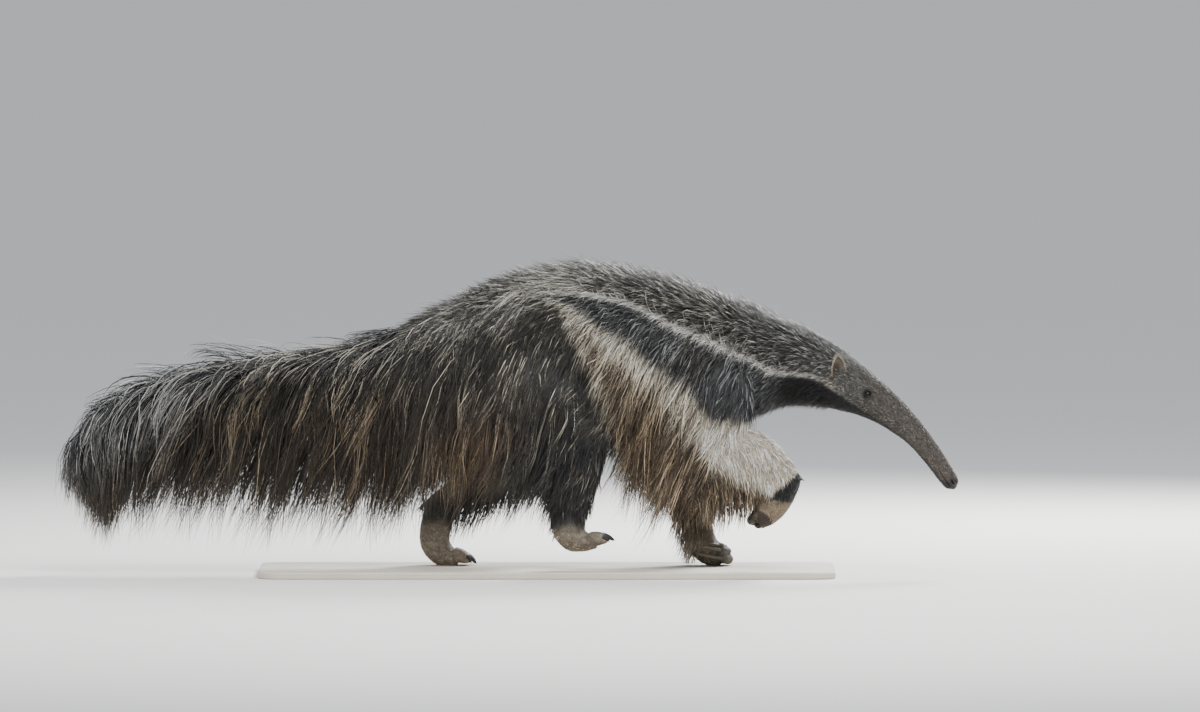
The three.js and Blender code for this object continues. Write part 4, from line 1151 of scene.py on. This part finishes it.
for side, seed, arc, middle_arc in TAIL_SIDES:
    rng = np.random.default_rng(seed)
    coat(f"coat_tail_{side}", [
        grow(hide, (1.4, 9.0), arc, 4040, TAIL_LIE, rng, **TAIL),
        grow(hide, (0.02, 1.4), arc, 1200, between(FAN_LIE, TAIL_LIE, 0, 1.4), rng, **TAIL),
        grow(hide, (0.02, 0.6), arc, 560, TIP_LIE, rng, **TAIL),
        grow(hide, (3.2, 8.6), middle_arc, 360, TAIL_LIE, rng, **STRAND),
    ])

# The rump: long dark hair that falls over the root of the tail and the thighs
RUMP_LIE = lie(
    [20, -76, 14, 18, 14, 0], [50, -84, 24, 17, 62, 10], [80, -74, 18, 14, 98, 22],
    [120, -42, 10, 10, 168, 24], [180, -32, 0, 5, 165, 20],
    rows=(8.4, 10.4, 11.4), scale=(1, 1, 0.8),
)
rng = np.random.default_rng(21)
coat("coat_rump", [
    grow(hide, (8.6, 11.5), arc, 2900, RUMP_LIE, rng, wide=2.3, **LONG) for arc in ((25, 180), (-180, -25))
])

# The back: coarse short hair that lies flat and back, and stands a little along the spine
BACK_LIE = lie(
    [0, -40, 0, 18, 0, 0], [40, -38, 4, 16, 3, 0], [80, -38, 8, 13, 14, 0],
    rows=(8.6, 10, 12, 16.4), scale=((1.35, 1, 1, 1, 1), (1.15, 1, 1, 1, 1), 1, (0.8, 1, 0.9, 1, 1)),
)
rng = np.random.default_rng(31)
coat("coat_back", [
    grow(hide, (8.8, 16.4), (-78, 78), 16400, BACK_LIE, rng, wide=1.6, follow=0.95, **SHORT)
])

# The flanks and belly: cream hair, lying back and down, that lengthens into a fringe
FLANK_LIE = lie(
    [55, -42, 8, 9, 14, 0], [80, -38, 10, 11, 44, 8], [105, -32, 8, 12, 88, 22], [130, -26, 6, 11, 110, 30],
    rows=(10.6, 12, 13, 13.6, 14.4, 16),
    scale=((0.8, 1, 1, 0.75, 0.8), (0.9, 1, 1, 0.8, 0.9), (1, 1, 1, 0.8, 1), (1, 1, 1, 1.35, 1),
           (1, 1, 1, 1.4, 0.8), 0.7),
)
FRINGE_LIE = lie(
    [105, -32, 8, 12, 92, 22], [130, -24, 6, 10, 125, 30], [180, -24, 0, 6, 110, 26],
    rows=(10.6, 11.6, 12.2, 13.0, 13.3, 13.7, 14.4, 16),
    scale=((0.8, 1, 1, 0.6, 0.8), (0.9, 1, 1, 0.35, 0.8), (1, 1, 1, 0.26, 0.8), (1, 1, 1, 0.32, 0.8),
           (1, 1, 1, 0.8, 1), (1, 1, 1, 1.4, 1), (1, 1, 1, 1.55, 0.8), 0.7),
)
FLANK = LONG | dict(wide=2.2, clump=9, follow=0.85, uneven=0.32)
rng = np.random.default_rng(41)
coat("coat_flanks", [
    grow(hide, (10.8, 16.2), (sign * low, sign * high), count, laid, rng, **FLANK)
    for sign in (1, -1)
    for low, high, count, laid in ((60, 112, 2300, FLANK_LIE), (112, 182, 2100, FRINGE_LIE))
])

# The neck: short hair combed back from the head
NECK_LIE = lie(
    [0, -32, 0, 16, 0, 0], [90, -30, 4, 11, 4, 0], [180, -30, 0, 9, 8, 0],
    rows=(15.6, 17, 18.2, 19.2, 19.8),
    scale=((1.1, 1, 1.05, 1, 1), (0.9, 1, 0.85, 1, 1), (0.7, 1, 0.6, 1, 1), (0.5, 1, 0.36, 1, 1),
           (0.4, 1, 0.22, 1, 1)),
)
NECK = SHORT | dict(wide=1.35, pull=0.2, sink=2, follow=0.9)
rng = np.random.default_rng(51)
coat("coat_neck", [grow(hide, (15.8, 19.7), ROUND, 11800, NECK_LIE, rng, **NECK)])

# The white line over the shoulder: short hair along the stripe's upper border
LINE_COUNT, LINE_ABOVE, LINE_WIDE, LINE_SPAN = 1200, 4, 3.2, (9.4, 17.6)
LINE_LIE = lie([0, -16, 0, 12, 2, 0], [180, -16, 0, 12, 2, 0],
               rows=(9, 15, 18), scale=((1, 1, 1.1, 1, 1), 1, (1, 1, 0.7, 1, 1)))
LINE = SINGLE | dict(wide=1.5, stray=5, follow=0.5, uneven=0.15, rise=0.6, bright=0.3)


def line_roots(sign, rng):
    """Roots along the line: even rows, each at the angle whose place is nearest to its height."""
    at = np.sort(rng.uniform(*LINE_SPAN, LINE_COUNT))
    angle = sign * np.radians(np.linspace(15, 120, 240))
    x, _, z = in_mm(on_tube(hide, at[:, None], angle[None]))
    level = np.interp(x, *STRIPE_TOP) + LINE_ABOVE + rng.normal(0, LINE_WIDE, LINE_COUNT)[:, None]
    return at, angle[np.abs(z - level).argmin(1)]


rng = np.random.default_rng(55)
coat("coat_line", [
    grow(hide, LINE_SPAN, ROUND, LINE_COUNT, LINE_LIE, rng, roots=line_roots(sign, rng), **LINE)
    for sign in SIDE_SIGN.values()
])

# The head: very short hair, shorter towards the nose, over the skin's own relief
HEAD_LIE = lie([0, -10, 0, 1.7, 0, 0], [180, -10, 0, 1.9, 0.5, 0],
               rows=(19.2, 20, 21, 23, 25.8), scale=((1.3, 1, 1.6, 1, 1), 1, 0.8, 0.6, 0.4))
HEAD = SINGLE | dict(wide=0.85, sink=0.5, stray=5, uneven=0.25, bands=0.7, over=relief)
rng = np.random.default_rng(61)
coat("coat_head", [grow(hide, (19.3, 25.7), ROUND, 13400, HEAD_LIE, rng, **HEAD)])

# The ears: pale hair round the rim, and short hair up the back. For each: its count, length in mm,
# dark and pale colours, how near to the rim it begins, how it leans up and away from the cup
EAR_HAIR = {
    "rim": (420, 7.5, (110, 101, 88), (182, 172, 154), (0.93, 1), 0.5, 0.8),
    "back": (420, 7.0, (56, 52, 48), (140, 132, 118), (0, 0.95), 0.9, 0.25),
}


def ear_hair(sign, where, rng):
    """Hairs on an ear's rim or back: each a line from the cup along up and away from its middle,
    length x share, with a little random lean. Returns what grow does."""
    count, long, dark, pale, out, upward, sideways = EAR_HAIR[where]
    rim = where == "rim"
    v = rng.uniform(0.22, 1, count)
    turn = rng.choice([-1, 1], count) * np.pi / 2 * rng.uniform(*out, count)
    root = ear_points(sign, v, turn, rng.uniform(0, 0.5, count) * rim)
    _, up, _, opening = ear_frame(sign)
    away = unit(root - ear_points(sign, 0 * v + 0.45, 0 * v, 0 * v) + opening * 0.004 * rim)
    lean = unit(up * upward + away * sideways + rng.normal(0, 0.16, (count, 3)))
    share = np.linspace(0, 1, 3)[None, :, None]
    length = long / 1000 * rng.uniform(0.6, 1.25, (count, 1, 1))
    path = root[:, None] + lean[:, None] * length * share + up * 0.0015 * share**2
    outward = np.broadcast_to(away[:, None], path.shape)
    points = locks(path, outward, rng.uniform(0.7, 1.2, count), rng)
    luck = (rng.uniform(0, 1, (count, 1, 1)) > 0.4) * np.ones((1, 7, 1))
    shade = linear(dark) + (linear(pale) - linear(dark)) * luck
    return points, shade, np.stack([v, turn / np.pi + 0.5], -1), 3


rng = np.random.default_rng(65)
coat("coat_ears", [
    ear_hair(sign, where, rng) for sign in SIDE_SIGN.values() for where in EAR_HAIR
])

# The hind legs: dark hair, long on the thighs and behind the shanks
THIGH_LIE = {
    "right": lie([0, 26, 8, 9, 46, 18], [90, 28, 14, 10, 76, 32], [180, 24, 0, 10, 100, 32]),
    "left": lie([0, 26, 8, 9, 104, 22], [90, 28, 14, 10, 84, 32], [180, 24, 0, 10, 100, 32]),
}
SHANK_LIE = {
    "right": lie([0, 26, 0, 6, 8, 2], [110, 26, 8, 8, 24, 6], [180, 22, 0, 10, 62, 12],
                 rows=(0.5, 3.2, 4.4), scale=(1.1, 0.8, 0.25)),
    "left": lie([0, 22, 0, 6, 74, 16], [110, 26, 8, 8, 34, 8], [180, 22, 0, 10, 40, 8],
                rows=(0.5, 3.4, 4.4), scale=(1.1, 0.9, 0.3)),
}
HIND = dict(wide=2.2, pull=0.65, stray=8, curl=0.07, follow=0.5, depth=0.35, vary=0.2)
LENGTH_COATS = ("thigh", (0.0, 3.6), 2150, THIGH_LIE), ("shank", (0.7, 4.9), 1600, SHANK_LIE)
rng = np.random.default_rng(71)
coat("coat_hind_legs", [
    grow(limbs[f"{part}_{side}"], span, ROUND, count, laid[side], rng, **HIND)
    for side in SIDE_SIGN
    for part, span, count, laid in LENGTH_COATS
])

# The fore legs: cream hair, long behind the arm and under the forearm, shorter on the shoulder
ARM_LIE = lie([0, 26, 8, 8, 20, 0], [90, 28, 12, 9, 52, 12], [180, 20, 0, 10, 112, 30])
SHOULDER_LIE = lie([0, 20, 4, 9, 10, 2], [90, 22, 6, 9, 16, 4], [180, 20, 0, 9, 20, 8])
ARM = dict(wide=2.0, clump=5, pull=0.5, stray=7, curl=0.05, kin=0.4, follow=0.8, bands=0.3)
rng = np.random.default_rng(81)
coat("coat_fore_legs", [
    grow(limbs[f"arm_{side}"], span, ROUND, count, laid, rng, **ARM)
    for side in SIDE_SIGN
    for span, count, laid in (((0.0, 3.9), 1500, ARM_LIE), ((0.0, 1.5), 450, SHOULDER_LIE))
])
FOREARM_LIE = {
    "left": lie([0, 20, 0, 7, 8, 0], [90, 20, 6, 8, 18, 4], [180, 18, 0, 9, 46, 10],
                rows=(0.5, 4.6), scale=(1.1, 0.9)),
    "right": lie([0, 18, 0, 5, 2, 0], [90, 18, 16, 6, 12, 4], [180, 15, 0, 7, 52, 10],
                 rows=(0.5, 4.8), scale=(1.1, 0.6)),
}
FOREARM = dict(steps=4, wide=1.7, clump=4, pull=0.4, curl=0.03, kin=0.3, follow=0.8, bands=0.3)
rng = np.random.default_rng(85)
coat("coat_forearms", [
    grow(limbs[f"forearm_{side}"], (0.9, 4.8), ROUND, 2500, FOREARM_LIE[side], rng, **FOREARM)
    for side in SIDE_SIGN
])

# The feet: short close hair down to the claws
FOOT_LIE = lie([0, 6, 0, 0.9, 0.3, 0], [180, 6, 0, 1.1, 0.8, 0])
rng = np.random.default_rng(91)
coat("coat_feet", [
    grow(rows, (0.8, len(rows) - 1.1), ROUND, 1100, FOOT_LIE, rng, wide=1.0, sink=0.6, **SINGLE)
    for rows in (limbs[name] for name in FEET)
])


# ---- Studio ----
# A plain pale floor under and behind the model, soft overhead and side light, and a long lens
# level with the animal's back, as the photograph was taken.

FLOOR_REACH = 300.0  # far enough for a level horizon
corners = np.array([[-1, -1, 0], [1, -1, 0], [1, 1, 0], [-1, 1, 0]]) * FLOOR_REACH
floor = add_piece("floor", corners + [0, 0, base_low[2]], np.array([[0, 1, 2, 3]]))
floor.data.materials.append(
    new_material("studio_floor", [], Roughness=0.9, Base_Color=(0.76, 0.74, 0.71, 1)))

world = bpy.data.worlds.new("studio")
world.use_nodes = True
world.node_tree.nodes["Background"].inputs["Color"].default_value = (0.86, 0.92, 1.0, 1)
world.node_tree.nodes["Background"].inputs["Strength"].default_value = 0.75
bpy.context.scene.world = world


def softbox(name, place, aim, size, power):
    """A square soft light at a place, its face turned to aim."""
    light = bpy.data.lights.new(name, "AREA")
    light.shape, light.size, light.energy = "SQUARE", size, power
    lamp = bpy.data.objects.new(name, light)
    lamp.location = place
    lamp.rotation_euler = (Vector(aim) - Vector(place)).to_track_quat("-Z", "Y").to_euler()
    bpy.context.scene.collection.objects.link(lamp)


softbox("key", (0.9, -2.6, 3.2), (0.1, 0, 0.35), 2.2, 165)
softbox("top", (-0.2, 0.6, 3.8), (0.1, 0, 0.3), 3.2, 90)
softbox("fill", (-3.2, -1.8, 1.6), (-0.2, 0, 0.3), 2.4, 30)
softbox("rim", (1.6, 2.4, 2.2), (0.5, 0, 0.35), 1.2, 260)

# The photograph's frame and the animal's zero in it, in pixels, of 2.05 mm each at the animal
FRAME, ZERO, PIXEL = (1200, 712), (513, 568.5), 0.00205
ELEVATION, DISTANCE, SENSOR = 2.4, 30.0, 36
view_middle = ORIGIN + [(FRAME[0] / 2 - ZERO[0]) * PIXEL, -0.03, (ZERO[1] - FRAME[1] / 2) * PIXEL]
back = np.array([0, -np.cos(np.radians(ELEVATION)), np.sin(np.radians(ELEVATION))])
lens = bpy.data.cameras.new("camera")
lens.sensor_width = SENSOR
lens.lens = SENSOR * DISTANCE / (FRAME[0] * PIXEL)
lens.clip_end = 1000
camera = bpy.data.objects.new("camera", lens)
camera.location = view_middle + back * DISTANCE
camera.rotation_euler = Vector(-back).to_track_quat("-Z", "Y").to_euler()
bpy.context.scene.collection.objects.link(camera)
bpy.context.scene.camera = camera
